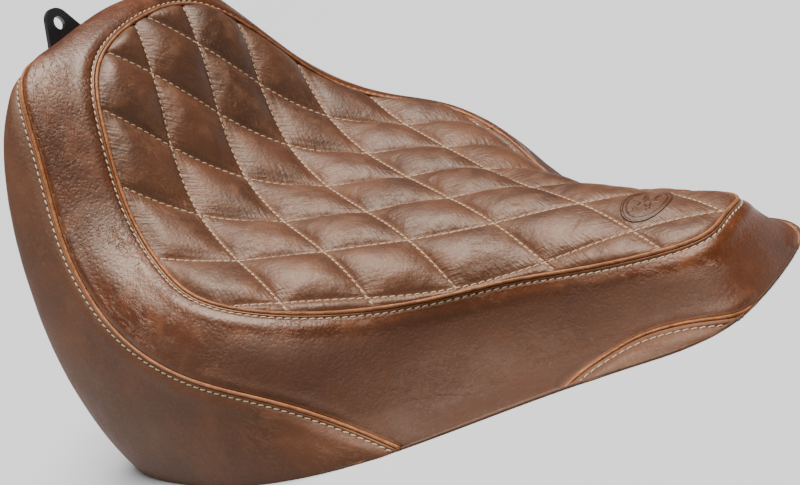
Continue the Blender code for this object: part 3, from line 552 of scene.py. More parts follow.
def leather(name, deep, middle, worn, edge, rough, wrinkle, grain, quilted=False, matt_and_painted_shade_sides=False):
    """Waxed, distressed leather; the colours are linear, and rough is its smoothest and its roughest."""
    n = Nodes(name)
    place = n.where()
    broad = n.noise(place, 14, 5, 0.6, 0.5)
    patch = n.noise(place, 60, 4, 0.6, 0.3)
    colour = n.mix(n.span(broad, 0.38, 0.64), deep, middle)
    colour = n.mix(n.span(patch, 0.52, 0.8, 0, 0.45), colour, worn)
    crease = n.noise(n.uv((75, 150, 1)), 1.0, 5, 0.62, 1.3)
    ridge = n.math("ABSOLUTE", n.math("SUBTRACT", crease, 0.5))
    line = n.span(ridge, 0.0, 0.03, 1, 0)
    line = n.math("MULTIPLY", line, n.span(n.noise(place, 22, 3), 0.46, 0.62))
    pebble = n.voronoi(place, 460, "SMOOTH_F1")
    pore = n.span(pebble, 0.0, 0.5)
    fine = n.noise(place, 1000, 3, 0.6)
    colour = n.mix(n.math("MULTIPLY", line, 0.30), colour, worn)
    colour = n.mix(n.math("MULTIPLY", n.span(pore, 0.6, 0.1), 0.22), colour, worn)
    near = n.attribute("seam")
    if matt_and_painted_shade_sides:
        side = n.attribute("side")
        # painted shade: the low sides' colour is mixed toward a darker brown
        colour = n.mix(n.math("MULTIPLY", side, 0.75), colour, tuple(part * 0.72 for part in deep))
    colour = n.mix(n.math("MULTIPLY", n.span(near, 0.0028, 0.0012), 0.85), colour, edge)
    normal = n.bump(crease, 0.00045 * wrinkle, 0.5)
    normal = n.bump(line, 0.0004 * wrinkle, 0.6, normal)
    if quilted:
        for across, stretch in (("line_i", (60, 430, 1)), ("line_j", (430, 60, 1))):
            pucker = n.noise(n.uv(stretch), 1.0, 3, 0.5, 0.5)
            fade = n.span(n.attribute(across), 0.016, 0.002)
            drawn = n.math("MULTIPLY", n.math("SUBTRACT", pucker, 0.5), fade)
            normal = n.bump(drawn, 0.0010, 0.8, normal)
    normal = n.bump(n.math("ADD", pore, n.math("MULTIPLY", fine, 0.5)), 0.0002 * grain, 0.6, normal)
    gloss = n.span(n.math("ADD", patch, n.math("MULTIPLY", pore, 0.25)), 0.4, 1.0, rough[0], rough[1])
    # the same low sides are made rougher as well as painted darker
    if matt_and_painted_shade_sides:
        gloss = n.math("ADD", gloss, n.math("MULTIPLY", side, 0.38))
    return n.finish(Base_Color=colour, Roughness=gloss, Normal=normal, IOR=1.52,
                    Specular_Tint=(1.0, 0.79, 0.62, 1))


def leathers():
    """The cover's leathers; the colours are its valleys, its body, its worn places and its cut edge."""
    deep, middle, worn = (0.036, 0.0072, 0.0012), (0.078, 0.0185, 0.0036), (0.19, 0.062, 0.018)
    edge = (0.21, 0.072, 0.022)
    return {
        "quilt": leather("quilt_leather", (0.040, 0.0120, 0.0045), (0.082, 0.028, 0.0115),
                         (0.19, 0.080, 0.035), (0.10, 0.036, 0.015), (0.43, 0.56), 0.4, 1.0, True),
        # the band's low sides are painted darker as shade and made matt
        "band": leather("band_leather", deep, middle, worn, edge, (0.33, 0.46), 0.6, 1.0, False, True),
        "emblem": leather("embossed_leather", (0.024, 0.0055, 0.0015), (0.044, 0.0115, 0.0030),
                          (0.10, 0.034, 0.011), edge, (0.38, 0.5), 0.4, 0.8),
        "skirt": leather("skirt_leather", (0.046, 0.0125, 0.0033), (0.074, 0.0215, 0.0064),
                         (0.13, 0.046, 0.018), edge, (0.56, 0.68), 0.45, 0.8),
        "hem": leather("hem_leather", (0.04, 0.014, 0.006), (0.075, 0.028, 0.012), (0.11, 0.05, 0.025),
                       (0.06, 0.025, 0.012), (0.6, 0.75), 0.6, 1.0),
    }


def welt_leather():
    """Leather pulled over a cord, in tight creases across it."""
    n = Nodes("welt_leather")
    place = n.where()
    rope = n.noise(n.uv((260, 420, 1)), 1.0, 3, 0.6, 0.6)
    colour = n.mix(n.span(n.noise(place, 120, 4), 0.35, 0.7), (0.14, 0.043, 0.012), (0.28, 0.100, 0.034))
    colour = n.mix(n.span(rope, 0.55, 0.75, 0, 0.5), colour, (0.36, 0.150, 0.058))
    normal = n.bump(rope, 0.0012, 0.7)
    normal = n.bump(n.noise(place, 1100, 3), 0.0003, 0.5, normal)
    return n.finish(Base_Color=colour, Roughness=n.span(rope, 0.3, 0.7, 0.46, 0.6), Normal=normal,
                    Specular_Tint=(1.0, 0.8, 0.6, 1))


def thread():
    """Twisted, waxed thread."""
    n = Nodes("thread")
    twist = n.add("ShaderNodeTexWave", {"Vector": n.uv((1, 1, 1)), "Scale": 900.0, "Distortion": 0.6},
                  wave_type="BANDS", bands_direction="DIAGONAL").outputs["Fac"]
    fuzz = n.noise(n.where(), 1600, 3)
    # painted shade and highlight: the thread is darker in the grooves of its twist and lighter on its plies
    colour = n.mix(n.span(twist, 0.2, 0.8), (0.34, 0.22, 0.105), (0.72, 0.56, 0.34))
    colour = n.mix(n.span(fuzz, 0.4, 0.8, 0, 0.5), colour, (0.50, 0.36, 0.19))
    return n.finish(Base_Color=colour, Roughness=n.span(fuzz, 0.2, 0.8, 0.5, 0.72),
                    Normal=n.bump(twist, 0.0003, 0.8), Sheen_Weight=0.3)


def needle_hole():
    """Painted shade: the dark inside a needle hole in leather, mottled."""
    n = Nodes("needle_hole")
    hole_shade_mottle = n.noise(n.where(), 900, 3)
    return n.finish(Base_Color=n.mix(hole_shade_mottle, (0.010, 0.005, 0.003), (0.035, 0.016, 0.008)),
                    Roughness=n.span(hole_shade_mottle, 0.3, 0.7, 0.8, 0.95))


def moulded_pan():
    """Black plastic with a moulded grain and a few pale scuffs."""
    n = Nodes("moulded_pan")
    grain = n.noise(n.where(), 700, 4, 0.6)
    flow = n.noise(n.where(), 30, 4)
    colour = n.mix(flow, (0.014, 0.014, 0.015), (0.034, 0.034, 0.036))
    colour = n.mix(n.span(n.voronoi(n.where(), 240), 0, 0.12, 0.2, 0), colour, (0.09, 0.09, 0.09))
    return n.finish(Base_Color=colour, Roughness=n.span(grain, 0.3, 0.7, 0.45, 0.7),
                    Normal=n.bump(grain, 0.0004, 0.6))


def black_powder_coat():
    """Powder coat on steel, chipped here and there."""
    n = Nodes("black_powder_coat")
    peel = n.noise(n.where(), 900, 3, 0.5)
    chip = n.span(n.noise(n.where(), 260, 5, 0.7), 0.66, 0.72)
    colour = n.mix(n.math("MULTIPLY", chip, 0.5), (0.008, 0.008, 0.009), (0.10, 0.10, 0.105))
    return n.finish(Base_Color=colour, Roughness=n.span(peel, 0.3, 0.7, 0.28, 0.42),
                    Normal=n.bump(peel, 0.00025, 0.6), Coat_Weight=0.4, Coat_Roughness=0.2)


def zinc_plate():
    """Bright zinc on steel."""
    n = Nodes("zinc_plate")
    brush = n.noise(n.where(), 500, 4, 0.6, 0.6)
    bloom = n.noise(n.where(), 90, 4)
    colour = n.mix(bloom, (0.42, 0.42, 0.42), (0.62, 0.61, 0.57))
    return n.finish(Base_Color=colour, Metallic=1.0, Roughness=n.span(brush, 0.3, 0.7, 0.25, 0.45),
                    Normal=n.bump(brush, 0.0001, 0.5))


def moulded_rubber():
    """Black rubber with some dust."""
    n = Nodes("moulded_rubber")
    skin = n.noise(n.where(), 1000, 3)
    dust = n.noise(n.where(), 60, 4)
    colour = n.mix(n.span(dust, 0.5, 0.75, 0, 0.6), (0.016, 0.016, 0.016), (0.055, 0.052, 0.048))
    return n.finish(Base_Color=colour, Roughness=n.span(skin, 0.3, 0.7, 0.65, 0.85),
                    Normal=n.bump(skin, 0.0003, 0.5))


def pressed_felt():
    """Dark pressed felt."""
    n = Nodes("pressed_felt")
    hair = n.noise(n.where(), 1400, 5, 0.75, 1.2)
    colour = n.mix(n.span(hair, 0.35, 0.7), (0.028, 0.028, 0.031), (0.11, 0.11, 0.115))
    return n.finish(Base_Color=colour, Roughness=n.span(hair, 0.3, 0.7, 0.9, 1.0),
                    Normal=n.bump(hair, 0.0008, 0.9), Sheen_Weight=0.4)


def make_materials():
    made = leathers()
    made["welt"] = welt_leather()
    made["thread"] = thread()
    made["hole"] = needle_hole()
    made["pan"] = moulded_pan()
    made["black_steel"] = black_powder_coat()
    made["zinc"] = zinc_plate()
    made["rubber"] = moulded_rubber()
    made["felt"] = pressed_felt()
    return made


# ---- the quilted panel ----
def diamond(s, t):
    """Numbers that are whole on the two sets of quilting lines."""
    return s + 1 + t / DIAMOND_WIDE, s + 1 - t / DIAMOND_WIDE


def flat_place(i, j):
    """Flat metres along and across the panel, from the numbers of its quilting lines."""
    return ((i + j) / 2 - 1) * DIAMOND_LONG, (i - j) / 2 * DIAMOND_WIDE


def outline_points(count):
    u = np.arange(count) * RING / count
    k, side = fold(u)
    edge = rim(k)
    return np.stack([edge[:, 0] * DIAMOND_LONG, edge[:, 1] * side], -1)


def inside(points, outline):
    """True for each flat point inside the closed outline."""
    x, y = points[:, 0], points[:, 1]
    result = np.zeros(len(points), bool)
    for a, b in zip(outline, np.roll(outline, -1, 0)):
        crosses = (a[1] > y) != (b[1] > y)
        reach = (b[0] - a[0]) * (y - a[1]) / (b[1] - a[1] + 1e-15) + a[0]
        result ^= crosses & (x < reach)
    return result


def outline_distance(points, outline):
    """Distance from each flat point to the outline."""
    best = np.full(len(points), 1.0)
    for a, b in zip(outline, np.roll(outline, -1, 0)):
        along = b - a
        share = np.clip(((points - a) @ along) / (along @ along), 0, 1)
        best = np.minimum(best, np.linalg.norm(points - a - share[:, None] * along, axis=-1))
    return best


def quilt_mesh():
    """Flat points and triangles inside the outline, and the outline itself."""
    outline = outline_points(560)
    span = np.arange(0, 8 * QUILT_STEPS + 1) / QUILT_STEPS
    i, j = (part.ravel() for part in np.meshgrid(span, span, indexing="ij"))
    lattice = np.stack(flat_place(i, j), -1)
    lattice = lattice[inside(lattice, outline)]
    lattice = lattice[outline_distance(lattice, outline) > 0.9 * MM]
    points = np.concatenate([outline, lattice])
    count = len(outline)
    edges = [(n, (n + 1) % count) for n in range(count)]
    result = delaunay_2d_cdt([Vector(p) for p in points], edges, [], 1, 1e-7)
    flat = np.array([tuple(p) for p in result[0]])
    triangles = np.array(result[2])
    return flat, triangles, outline


def seam_offsets(flat):
    """Distances to the nearest quilting lines of the two sets."""
    i, j = diamond(flat[:, 0] / DIAMOND_LONG, flat[:, 1])
    square = DIAMOND_LONG * DIAMOND_WIDE / 2 / DIAMOND_EDGE
    return np.abs(i - np.round(i)) * square, np.abs(j - np.round(j)) * square


def quilt_height(flat, outline):
    """How far the leather stands above the sewn surface."""
    from_i, from_j = seam_offsets(flat)
    rim_gap = outline_distance(flat, outline)
    full = DIAMOND_WIDE * DIAMOND_LONG / 2 / DIAMOND_EDGE / 2

    def dome(distance, reach):
        share = np.clip(distance / reach, 0, 1)
        return (1 - (1 - share) ** 2.4) ** 0.9
    puff = np.interp(flat[:, 0] / DIAMOND_LONG, *zip(*PUFF)) * MM
    height = puff * dome(from_i, full) * dome(from_j, full)
    return height * dome(rim_gap, 12 * MM), from_i, from_j, rim_gap


def quilt_surface(flat):
    """Point and outward unit vector of the sewn surface at each flat place."""
    s, t = flat[:, 0] / DIAMOND_LONG, flat[:, 1]
    small = 1e-4
    point = saddle(s, t)
    ahead = saddle(s + small, t) - saddle(s - small, t)
    aside = saddle(s, t + small) - saddle(s, t - small)
    return point, unit(np.cross(ahead, aside))


def blow_up(obj, pinned):
    """Blows the leather up over its foam with Blender's cloth, held along its stitches."""
    group = obj.vertex_groups.new(name="sewn")
    group.add([int(n) for n in np.nonzero(pinned)[0]], 1.0, "REPLACE")
    cloth = obj.modifiers.new("leather", "CLOTH")
    settings = cloth.settings
    settings.quality = 6
    settings.mass = 0.4
    settings.tension_stiffness = 22
    settings.compression_stiffness = 22
    settings.shear_stiffness = 12
    settings.bending_stiffness = 0.35
    settings.vertex_group_mass = "sewn"
    settings.pin_stiffness = 1
    settings.use_pressure = True
    settings.uniform_pressure_force = 4
    settings.shrink_min = -0.02
    settings.effector_weights.gravity = 0
    cloth.collision_settings.use_collision = False
    for number in range(1, 21):
        bpy.context.scene.frame_set(number)
    apply_modifiers(obj)
    bpy.context.scene.frame_set(1)
    obj.vertex_groups.clear()


def add_folds(obj, base, out, start, rise, near):
    """Fills the diamonds to their rise and adds a share of the folds that blown-up leather takes."""
    blow_up(obj, near < 0.35 * MM)
    after = np.zeros(len(obj.data.vertices) * 3)
    obj.data.vertices.foreach_get("co", after)
    after = after.reshape(-1, 3) - [NOSE_X, 0, 0]
    moved = ((after - start) * out).sum(-1)
    folds = (after - start) - out * moved[:, None] + out * (moved - np.median(moved))[:, None]
    size = np.linalg.norm(folds, axis=-1, keepdims=True)
    folds *= np.minimum(1, FOLD_LIMIT / np.maximum(size, 1e-9)) * np.clip(near / (3 * MM), 0, 1)[:, None]
    filled = base + out * rise[:, None]
    obj.data.vertices.foreach_set("co", (filled + folds * FOLD_SHARE + [NOSE_X, 0, 0]).ravel())


def add_quilt(materials):
    """The quilted panel; returns it and its flat outline."""
    flat, triangles, outline = quilt_mesh()
    base, out = quilt_surface(flat)
    height, from_i, from_j, rim_gap = quilt_height(flat, outline)
    near = np.minimum(np.minimum(from_i, from_j), rim_gap)
    rise = height - 1.2 * MM * bell(near, 0, 1.3 * MM)
    lift = rise * START_SHARE
    points = base + out * lift[:, None]
    if facing_down(points, triangles):
        triangles = triangles[:, ::-1]
    lines = np.stack(diamond(flat[:, 0] / DIAMOND_LONG, flat[:, 1]), -1) * DIAMOND_EDGE
    obj = new_object("inlay_quilt", points, triangles, lines,
                     [("seam", near), ("line_i", from_i), ("line_j", from_j)])
    add_folds(obj, base, out, points, rise, near)
    fine = obj.modifiers.new("fine", "SUBSURF")
    fine.levels = fine.render_levels = 1
    apply_modifiers(obj)
    obj.data.shade_smooth()
    dress(obj, materials["quilt"], "quilt_leather", "inlay_panel", "quilt_foam_layer")
    return obj, outline


def facing_down(points, triangles):
    a, b, c = (points[triangles[:, n]] for n in range(3))
    return np.cross(b - a, c - a)[:, 2].sum() < 0


# ---- welts and thread ----
def add_welt(name, node, u, v, closed, rise, materials):
    """A piped cord along a seam, its middle at a rise above it, with the leather pulled tight over it."""
    line = band(u, v)
    lower = band(u, np.minimum(v + 0.02, 1.0))
    upper = band(u, np.maximum(v - 0.02, 0.0))
    down = lower - upper
    tangent = unit(np.roll(line, -1, 0) - np.roll(line, 1, 0) if closed else np.gradient(line, axis=0))
    out = unit(square_to(unit(np.cross(down, tangent)), tangent))
    side = np.cross(tangent, out)
    run = np.concatenate([[0], np.cumsum(np.linalg.norm(np.diff(line, axis=0), axis=-1))])
    turns = 20
    angle = np.arange(turns) * 2 * pi / turns
    ripple = 1 + 0.045 * np.sin(run[:, None] / (2.1 * MM) + angle) * (0.5 + 0.5 * np.cos(angle))
    radius = WELT_RADIUS * ripple * (1 + 0.05 * noise(line, 9 * MM, 8))[:, None]
    centre = line + out * rise
    ring = centre[:, None] + radius[..., None] * (np.cos(angle)[None, :, None] * out[:, None]
                                                  + np.sin(angle)[None, :, None] * side[:, None])
    ring[..., 2] = np.maximum(ring[..., 2], 0.2 * MM)
    points = ring.transpose(1, 0, 2)
    faces = grid_faces(turns + 1, len(u), closed) % (turns * len(u))
    uv = np.stack(np.broadcast_arrays(run[None, :], (angle * WELT_RADIUS)[:, None]), -1)
    points, uv = points.reshape(-1, 3), uv.reshape(-1, 2)
    if not closed:
        ends = [(0, len(points)), (len(u) - 1, len(points) + 1)]
        points = np.concatenate([points, [centre[0], centre[-1]]])
        uv = np.concatenate([uv, np.zeros((2, 2))])
    made = new_object(name, points, faces, uv)
    if not closed:
        close_ends(made, ends, turns, len(u))
    recalculate(made)
    dress(made, materials["welt"], "welt_leather", node)


def close_ends(obj, ends, turns, columns):
    work = bmesh.new()
    work.from_mesh(obj.data)
    work.verts.ensure_lookup_table()
    for column, tip in ends:
        for n in range(turns):
            a, b = n * columns + column, (n + 1) % turns * columns + column
            work.faces.new((work.verts[a], work.verts[b], work.verts[tip]))
    work.to_mesh(obj.data)
    work.free()
    obj.data.shade_smooth()


def recalculate(obj):
    work = bmesh.new()
    work.from_mesh(obj.data)
    bmesh.ops.recalc_face_normals(work, faces=work.faces)
    work.to_mesh(obj.data)
    work.free()


def stitch_shape():
    """One stitch along +x from -0.5 to 0.5, with its ends dipping into the leather."""
    rings, sides = 7, 8
    points = []
    for n in range(rings):
        share = n / (rings - 1)
        x = share - 0.5
        lift = sin(pi * share) ** 0.6
        thick = 0.62 + 0.38 * sin(pi * share) ** 0.5
        for side in range(sides):
            angle = 2 * pi * side / sides
            points.append((x, thick * cos(angle), thick * sin(angle) + 1.15 * lift - 0.75))
    faces = []
    for n in range(rings - 1):
        for side in range(sides):
            after = (side + 1) % sides
            low, high = n * sides, (n + 1) * sides
            faces.append((low + side, high + side, high + after, low + after))
    base = len(points)
    points += [(-0.5, 0, -0.75), (0.5, 0, -0.75)]
    last = (rings - 1) * sides
    for side in range(sides):
        after = (side + 1) % sides
        faces.append((base, side, after, base))
        faces.append((base + 1, last + after, last + side, base + 1))
    return np.array(points), faces


def stitches(line, out):
    """Places and directions of the stitches along a line, and the step between them."""
    run = np.concatenate([[0], np.cumsum(np.linalg.norm(np.diff(line, axis=0), axis=-1))])
    count = max(int(round(run[-1] / STITCH_PITCH)), 1)
    step = run[-1] / count
    middle = (np.arange(count) + 0.5) * step
    place = np.stack([np.interp(middle, run, line[:, a]) for a in range(3)], -1)
    low = np.stack([np.interp(middle - step / 2, run, line[:, a]) for a in range(3)], -1)
    high = np.stack([np.interp(middle + step / 2, run, line[:, a]) for a in range(3)], -1)
    normal = np.stack([np.interp(middle, run, out[:, a]) for a in range(3)], -1)
    along = unit(high - low)
    normal = unit(square_to(normal, along))
    side = np.cross(normal, along)
    turn = STITCH_SLANT + 0.06 * noise(place, 3 * MM, 4)
    along, side = (along * np.cos(turn)[:, None] + side * np.sin(turn)[:, None],
                   side * np.cos(turn)[:, None] - along * np.sin(turn)[:, None])
    return place, along, side, normal, step


def add_thread(name, rows, materials, surface):
    """Stitches and needle holes along several rows, seated on the leather."""
    shape, quads = stitch_shape()
    quads = np.array(quads)
    roll = np.arctan2(shape[:, 2], shape[:, 1]) * THREAD_RADIUS
    thread_parts, hole_parts, uv = [], [], []
    for line, out in rows:
        place, along, side, normal, step = stitches(line, out)
        place = seated(place, normal, surface)
        length = step * STITCH_SHARE
        points = (place[:, None] + shape[None, :, :1] * along[:, None] * length
                  + shape[None, :, 1:2] * side[:, None] * THREAD_RADIUS
                  + shape[None, :, 2:3] * normal[:, None] * THREAD_RADIUS)
        for block in points:
            thread_parts.append((block, quads))
            uv.append(np.stack([shape[:, 0] * length, roll], -1))
        ends = seated(place - along * step / 2, normal, surface)
        for centre, a, b, c in zip(ends, along, side, normal):
            hole_parts.append(hole(centre, a, b, c))
    points, faces = gather(thread_parts)
    faces = [tuple(dict.fromkeys(face)) for face in faces.tolist()]
    thread_piece = new_object(name, points, faces, np.concatenate(uv))
    dress(thread_piece, materials["thread"], "welt_leather")
    points, faces = gather(hole_parts)
    holes = new_object(name + "_needle_holes", points, faces)
    dress(holes, materials["hole"], "hem_leather")


def hole(centre, along, side, normal):
    """A small dark lens, painted shade for the hole where the thread goes down."""
    around = 8
    angle = np.arange(around) * 2 * pi / around
    ring = centre + 0.62 * MM * np.cos(angle)[:, None] * along + 0.5 * MM * np.sin(angle)[:, None] * side
    points = np.concatenate([ring, [centre + 0.16 * MM * normal], [centre - 0.3 * MM * normal]])
    n = np.arange(around)
    top = np.stack([n, (n + 1) % around, np.full(around, around)], -1)
    bottom = np.stack([(n + 1) % around, n, np.full(around, around + 1)], -1)
    return points, np.concatenate([top, bottom])


def seated(points, normals, surface):
    """The points moved along their normals onto the leather."""
    moved = points.copy()
    for n, (point, normal) in enumerate(zip(points, normals)):
        start = Vector(point + [NOSE_X, 0, 0]) + Vector(normal) * 9 * MM
        hit = surface.ray_cast(start, -Vector(normal), 18 * MM)
        if hit[0] is not None:
            moved[n] = np.array(hit[0]) - [NOSE_X, 0, 0]
    return moved


def surface_of(*objects):
    points, faces = [], []
    for obj in objects:
        base = len(points)
        points += [v.co.copy() for v in obj.data.vertices]
        faces += [[base + n for n in p.vertices] for p in obj.data.polygons]
    return BVHTree.FromPolygons(points, faces)


def quilting_rows(outline):
    """Every quilting line, cut at the outline."""
    rows = []
    steps = np.linspace(0, 8, 1601)
    for number in range(1, 8):
        for first in (True, False):
            i = np.full(len(steps), float(number)) if first else steps
            j = steps if first else np.full(len(steps), float(number))
            flat = np.stack(flat_place(i, j), -1)
            keep = inside(flat, outline) & (outline_distance(flat, outline) > 2.2 * MM)
            if keep.sum() < 20:
                continue
            ends = np.nonzero(np.diff(keep.astype(int)))[0] + 1
            for piece in np.split(np.arange(len(steps)), ends):
                if keep[piece[0]] and len(piece) > 20:
                    point, out = quilt_surface(flat[piece])
                    rows.append((point, out))
    return rows


def seam_row(u, v, distance, closed):
    """A line on the band a set distance below a seam."""
    line = band(u, v)
    small = 0.004
    down = (band(u, v + small) - line) / small
    square = square_to(down, unit(np.gradient(line, axis=0)))
    lower = v + distance / np.linalg.norm(square, axis=-1)
    keep = lower < 0.995
    line, down = band(u, lower)[keep], down[keep]
    out = unit(np.cross(down, np.gradient(line, axis=0)))
    if closed:
        line = np.concatenate([line, line[:1]])
        out = np.concatenate([out, out[:1]])
    return line, out


# ---- the emblem ----
def ellipse(share):
    angle = np.arange(96) * 2 * pi / 96
    return np.stack([np.cos(angle) * EMBLEM[1], np.sin(angle) * EMBLEM[2]], -1) * share


def star(points, outer, inner, turn=0.0):
    """A plain star's outline, with several points along each straight side."""
    angle = turn + np.arange(2 * points) * pi / points
    reach = np.where(np.arange(2 * points) % 2 == 0, outer, inner)
    corner = np.stack([np.cos(angle), np.sin(angle)], -1) * reach[:, None]
    after = np.roll(corner, -1, 0)
    share = np.linspace(0, 1, 8, endpoint=False)[:, None]
    return np.concatenate([a + (b - a) * share for a, b in zip(corner, after)])


def emboss_line(places, surface, radius):
    """A low closed ridge through flat places on the quilted panel."""
    base, out = quilt_surface(places)
    centre = seated(base, out, surface)
    side = np.cross(unit(np.roll(centre, -1, 0) - np.roll(centre, 1, 0)), out)
    angle = np.arange(10) * 2 * pi / 10
    ring = (centre[:, None] + radius * np.cos(angle)[None, :, None] * side[:, None]
            + radius * (0.8 * np.sin(angle) - 0.25)[None, :, None] * out[:, None])
    return ring.transpose(1, 0, 2).reshape(-1, 3), grid_faces(11, len(places), True) % (10 * len(places))


def add_emblem(materials, surface):
    """A generic embossed oval: a double border, a plain star and four small diamonds."""
    middle = np.array([EMBLEM[0] * DIAMOND_LONG, 0])
    lines = [(ellipse(1), 1.1 * MM), (ellipse(0.82), 0.7 * MM), (star(6, 8.5 * MM, 4.2 * MM), 0.75 * MM),
             (star(3, 3.2 * MM, 1.6 * MM), 0.45 * MM)]     # each flat outline with its ridge's radius
    for turn in range(4):
        around = radians(45 + 90 * turn)
        offset = np.array([cos(around) * 6.2, sin(around) * 12.5]) * MM
        lines.append((star(2, 2.6 * MM, 1.4 * MM, pi / 2) + offset, 0.4 * MM))
    points, faces = gather([emboss_line(middle + places, surface, radius) for places, radius in lines])
    made = new_object("embossed_oval", points, faces, points[:, :2], [("seam", np.full(len(points), 0.02))])
    recalculate(made)
    dress(made, materials["emblem"], "quilt_leather")


# ---- the cover ----
def one_side(u, side):
    """The stations on the right half, or their mirror on the left in the same direction round."""
    return u if side == 1 else RING - u[::-1]


def closed_ring(columns):
    return GRID_START + np.arange(columns) * RING / columns


def add_cover(materials):
    """The band and the three skirt panels below its seams."""
    u = closed_ring(BAND_COLUMNS)
    seam = lower_seam(u)
    band_panel = leather_panel("band_panel", u, np.zeros(len(u)), seam, BAND_ROWS, True, INLAY_STITCH,
                               seam < 0.999)
    u = np.linspace(-REAR_SKIRT_END, REAR_SKIRT_END, SKIRT_COLUMNS)
    rear = leather_panel("rear_skirt_panel", u, lower_seam(u) - SEAM_LAP, np.ones(len(u)), REAR_SKIRT_ROWS,
                         False, REAR_STITCH, False)
    dress(band_panel, materials["band"], "band_leather", "main_band", "foam_core")
    dress(rear, materials["skirt"], "skirt_leather", "rear_skirt")
    panels = [band_panel, rear]
    for side, name in ((1, "right"), (-1, "left")):
        u = one_side(np.linspace(FRONT_SKIRT_START, FRONT_SKIRT_END, FRONT_SKIRT_COLUMNS), side)
        front = leather_panel(f"front_skirt_panel_{name}", u, lower_seam(u) - SEAM_LAP, np.ones(len(u)),
                              FRONT_SKIRT_ROWS, False, FRONT_STITCH, False)
        dress(front, materials["skirt"], "skirt_leather", f"front_skirt_{name}")
        panels.append(front)
    return panels


def add_welts(materials):
    u = closed_ring(WELT_COLUMNS)
    add_welt("inlay_piping", "inlay_welt", u, np.zeros(len(u)), True, WELT_RISE, materials)
    u = np.linspace(-REAR_SEAM_END, REAR_SEAM_END, SKIRT_COLUMNS)
    add_welt("rear_piping", "rear_skirt_welt", u, lower_seam(u), False, WELT_RISE, materials)
    for side, name in ((1, "right"), (-1, "left")):
        u = one_side(np.linspace(*FRONT_WELT_SPAN, FRONT_WELT_COLUMNS), side)
        add_welt(f"front_piping_{name}", f"front_welt_{name}", u, lower_seam(u), False, FRONT_WELT_RISE,
                 materials)


def topstitch_rows():
    u = closed_ring(WELT_COLUMNS)
    rows = [seam_row(u, np.zeros(len(u)), INLAY_STITCH, True)]
    u = np.linspace(-REAR_SEAM_END, REAR_SEAM_END, SKIRT_COLUMNS)
    rows.append(seam_row(u, lower_seam(u), REAR_STITCH, False))
    for side in (1, -1):
        u = one_side(np.linspace(*FRONT_STITCH_SPAN, FRONT_WELT_COLUMNS), side)
        rows.append(seam_row(u, lower_seam(u), FRONT_STITCH, False))
    return rows


# ---- the underside ----
def add_hem(materials):
    """The cover's edge, turned under and fixed to the pan."""
    u = closed_ring(PAN_COLUMNS)
    rows = np.concatenate([np.linspace(0.0, 1.0, 12), [1.02]])
    w = np.broadcast_to(rows[:, None], (len(rows), len(u)))
    grid = underside(np.broadcast_to(u, w.shape), w)
    height = 0.25 * MM * noise(grid, 12 * MM, 9)
    height[0] = 0
    points = grid + grid_normals(grid, True) * height[..., None]
    points[..., 2] = np.maximum(points[..., 2], 0.15 * MM)
    uv = np.stack([np.broadcast_to(u * 0.05, w.shape), w * 0.02], -1)
    made = new_object("turned_hem", points.reshape(-1, 3), grid_faces(len(rows), len(u), True),
                      uv.reshape(-1, 2), [("seam", np.full(w.size, 0.02))])
    turn_under(made, LEATHER)
    dress(made, materials["hem"], "hem_leather", "cover_hem")


def add_pan(materials):
    """The moulded pan: a flange inside the hem, and the tunnel."""
    u = closed_ring(PAN_COLUMNS)
    rows = np.concatenate([np.linspace(0.5, 0.98, 6), np.linspace(1.0, 2.0, 42)])
    w = np.broadcast_to(rows[:, None], (len(rows), len(u)))
    grid = underside(np.broadcast_to(u, w.shape), w)
    points = grid - grid_normals(grid, True) * PAN_GAP
    made = new_object("moulded_pan", points.reshape(-1, 3), grid_faces(len(rows), len(u), True))
    merge_points(made)
    turn_under(made, PAN)
    dress(made, materials["pan"], "pan", "seat_pan")


def add_felt(materials):
    """The felt pads on the tunnel's slopes, with round corners and soft edges."""
    rows, columns = 40, 30
    a, b = np.meshgrid(np.linspace(-1, 1, columns), np.linspace(-1, 1, rows))
    u = 4.25 + 0.7 * a * np.sqrt(1 - 0.35 * b ** 2)
    w = 1.46 + 0.24 * b * np.sqrt(1 - 0.35 * a ** 2)
    for name, place_u, place_w in (("right", u, w), ("left", RING - u[:, ::-1], w[:, ::-1])):
        grid = underside(place_u, place_w)
        edge = np.maximum(np.abs(a), np.abs(b))
        rise = 0.4 * MM + 0.9 * MM * (1 - edge ** 10) + 0.12 * MM * noise(grid, 8 * MM, 12)
        points = grid + grid_normals(grid, False) * rise[..., None]
        pad = new_object(f"felt_pad_{name}_pressed", points.reshape(-1, 3), grid_faces(rows, columns, False))
        turn_under(pad, FELT)
        dress(pad, materials["felt"], "felt", f"felt_pad_{name}")


def merge_points(obj):
    work = bmesh.new()
    work.from_mesh(obj.data)
    bmesh.ops.remove_doubles(work, verts=work.verts, dist=0.05 * MM)
    work.to_mesh(obj.data)
    work.free()


# ---- metal and rubber ----
def add_eased(name, node, finish, slot):
    """The frame's own shape with its edges eased."""
    made = bpy.data.objects.new(name + "_eased", node.data.copy())
    bpy.context.scene.collection.objects.link(made)
    ease = made.modifiers.new("ease", "BEVEL")
    ease.width = 0.8 * MM if slot == "rubber" else 0.45 * MM
    ease.segments = 2
    ease.limit_method = "ANGLE"
    ease.angle_limit = radians(35)
    ease.use_clamp_overlap = True
    apply_modifiers(made)
    made.data.shade_smooth()
    made.data.set_sharp_from_angle(angle=radians(35))
    dress(made, finish, slot, name)


def add_metal_and_rubber(materials):
    for name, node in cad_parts.items():
        if name == "rear_mount_tab":
            add_eased(name, node, materials["black_steel"], "black_steel")
        elif name.startswith(("nose_tongue", "tongue_rivet", "tab_rivet", "hem_rivet")) or "screw" in name:
            add_eased(name, node, materials["zinc"], "zinc_steel")
        elif name.startswith("bumper"):
            add_eased(name, node, materials["rubber"], "rubber")


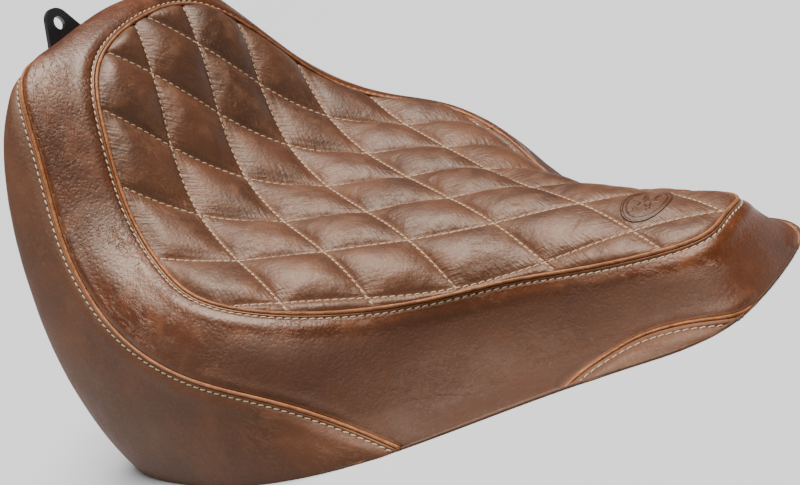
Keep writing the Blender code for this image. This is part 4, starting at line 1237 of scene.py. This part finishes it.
# ---- camera, floor and light ----
# The view: where it is taken from, and the directions to its back, its right and its top.
VIEW_BACK = Vector((0.6086, -0.7457, 0.2710))
VIEW_RIGHT = Vector((0.7781, 0.4940, -0.3879))
VIEW_UP = Vector((0.1554, 0.4470, 0.8809))
VIEW_PLACE = Vector((0.5166, -0.9501, 0.4131))
VIEW_LENS = 85.45
SEAT_MIDDLE = Vector((-0.22, 0, 0.12))


def add_camera():
    data = bpy.data.cameras.new("camera")
    data.lens = VIEW_LENS
    data.sensor_width = 36
    data.clip_start = 0.05
    camera = bpy.data.objects.new("camera", data)
    bpy.context.scene.collection.objects.link(camera)
    turn = Matrix((VIEW_RIGHT, VIEW_UP, VIEW_BACK)).transposed().to_4x4()
    camera.matrix_world = Matrix.Translation(VIEW_PLACE + Vector((NOSE_X, 0, 0))) @ turn
    bpy.context.scene.camera = camera


def add_light(name, offset, size, power):
    """A square soft light that faces the seat, placed from the seat's middle."""
    data = bpy.data.lights.new(name, "AREA")
    data.size = size
    data.energy = power
    light = bpy.data.objects.new(name, data)
    bpy.context.scene.collection.objects.link(light)
    light.location = SEAT_MIDDLE + Vector((NOSE_X, 0, 0)) + Vector(offset)
    light.rotation_euler = Vector(offset).to_track_quat("Z", "Y").to_euler()


def add_stage():
    """A pale floor, a dim even room, a wide soft light overhead and a fill at the rear right."""
    corners = [(-8, -8, 0), (8, -8, 0), (8, 8, 0), (-8, 8, 0)]
    floor = new_object("floor", corners, [(0, 1, 2, 3)], smooth=False)
    n = Nodes("pale_floor")
    shade = n.noise(n.where(), 3, 3)
    colour = n.mix(shade, (0.43, 0.43, 0.43), (0.46, 0.46, 0.46))
    set_material(floor, n.finish(Base_Color=colour, Roughness=0.7))
    world = bpy.data.worlds.new("soft_room")
    bpy.context.scene.world = world
    world.use_nodes = True
    background = world.node_tree.nodes["Background"]
    background.inputs["Color"].default_value = (0.95, 0.97, 1.0, 1)
    background.inputs["Strength"].default_value = 0.13
    data = bpy.data.lights.new("overhead_softbox", "SUN")
    data.angle = radians(48)
    data.energy = 10.0
    light = bpy.data.objects.new("overhead_softbox", data)
    bpy.context.scene.collection.objects.link(light)
    light.rotation_euler = Vector((0.06, 0.05, 1)).to_track_quat("Z", "Y").to_euler()
    add_light("side_fill", (-1.5, -1.3, 0.45), 1.1, 9)


def build():
    add_camera()
    materials = make_materials()
    quilt, outline = add_quilt(materials)
    panels = add_cover(materials)
    add_welts(materials)
    quilt_faces = surface_of(quilt)
    add_emblem(materials, quilt_faces)
    add_thread("quilting_thread", quilting_rows(outline), materials, quilt_faces)
    add_thread("topstitch_thread", topstitch_rows(), materials, surface_of(*panels))
    add_hem(materials)
    add_pan(materials)
    add_felt(materials)
    add_metal_and_rubber(materials)
    add_stage()


build()
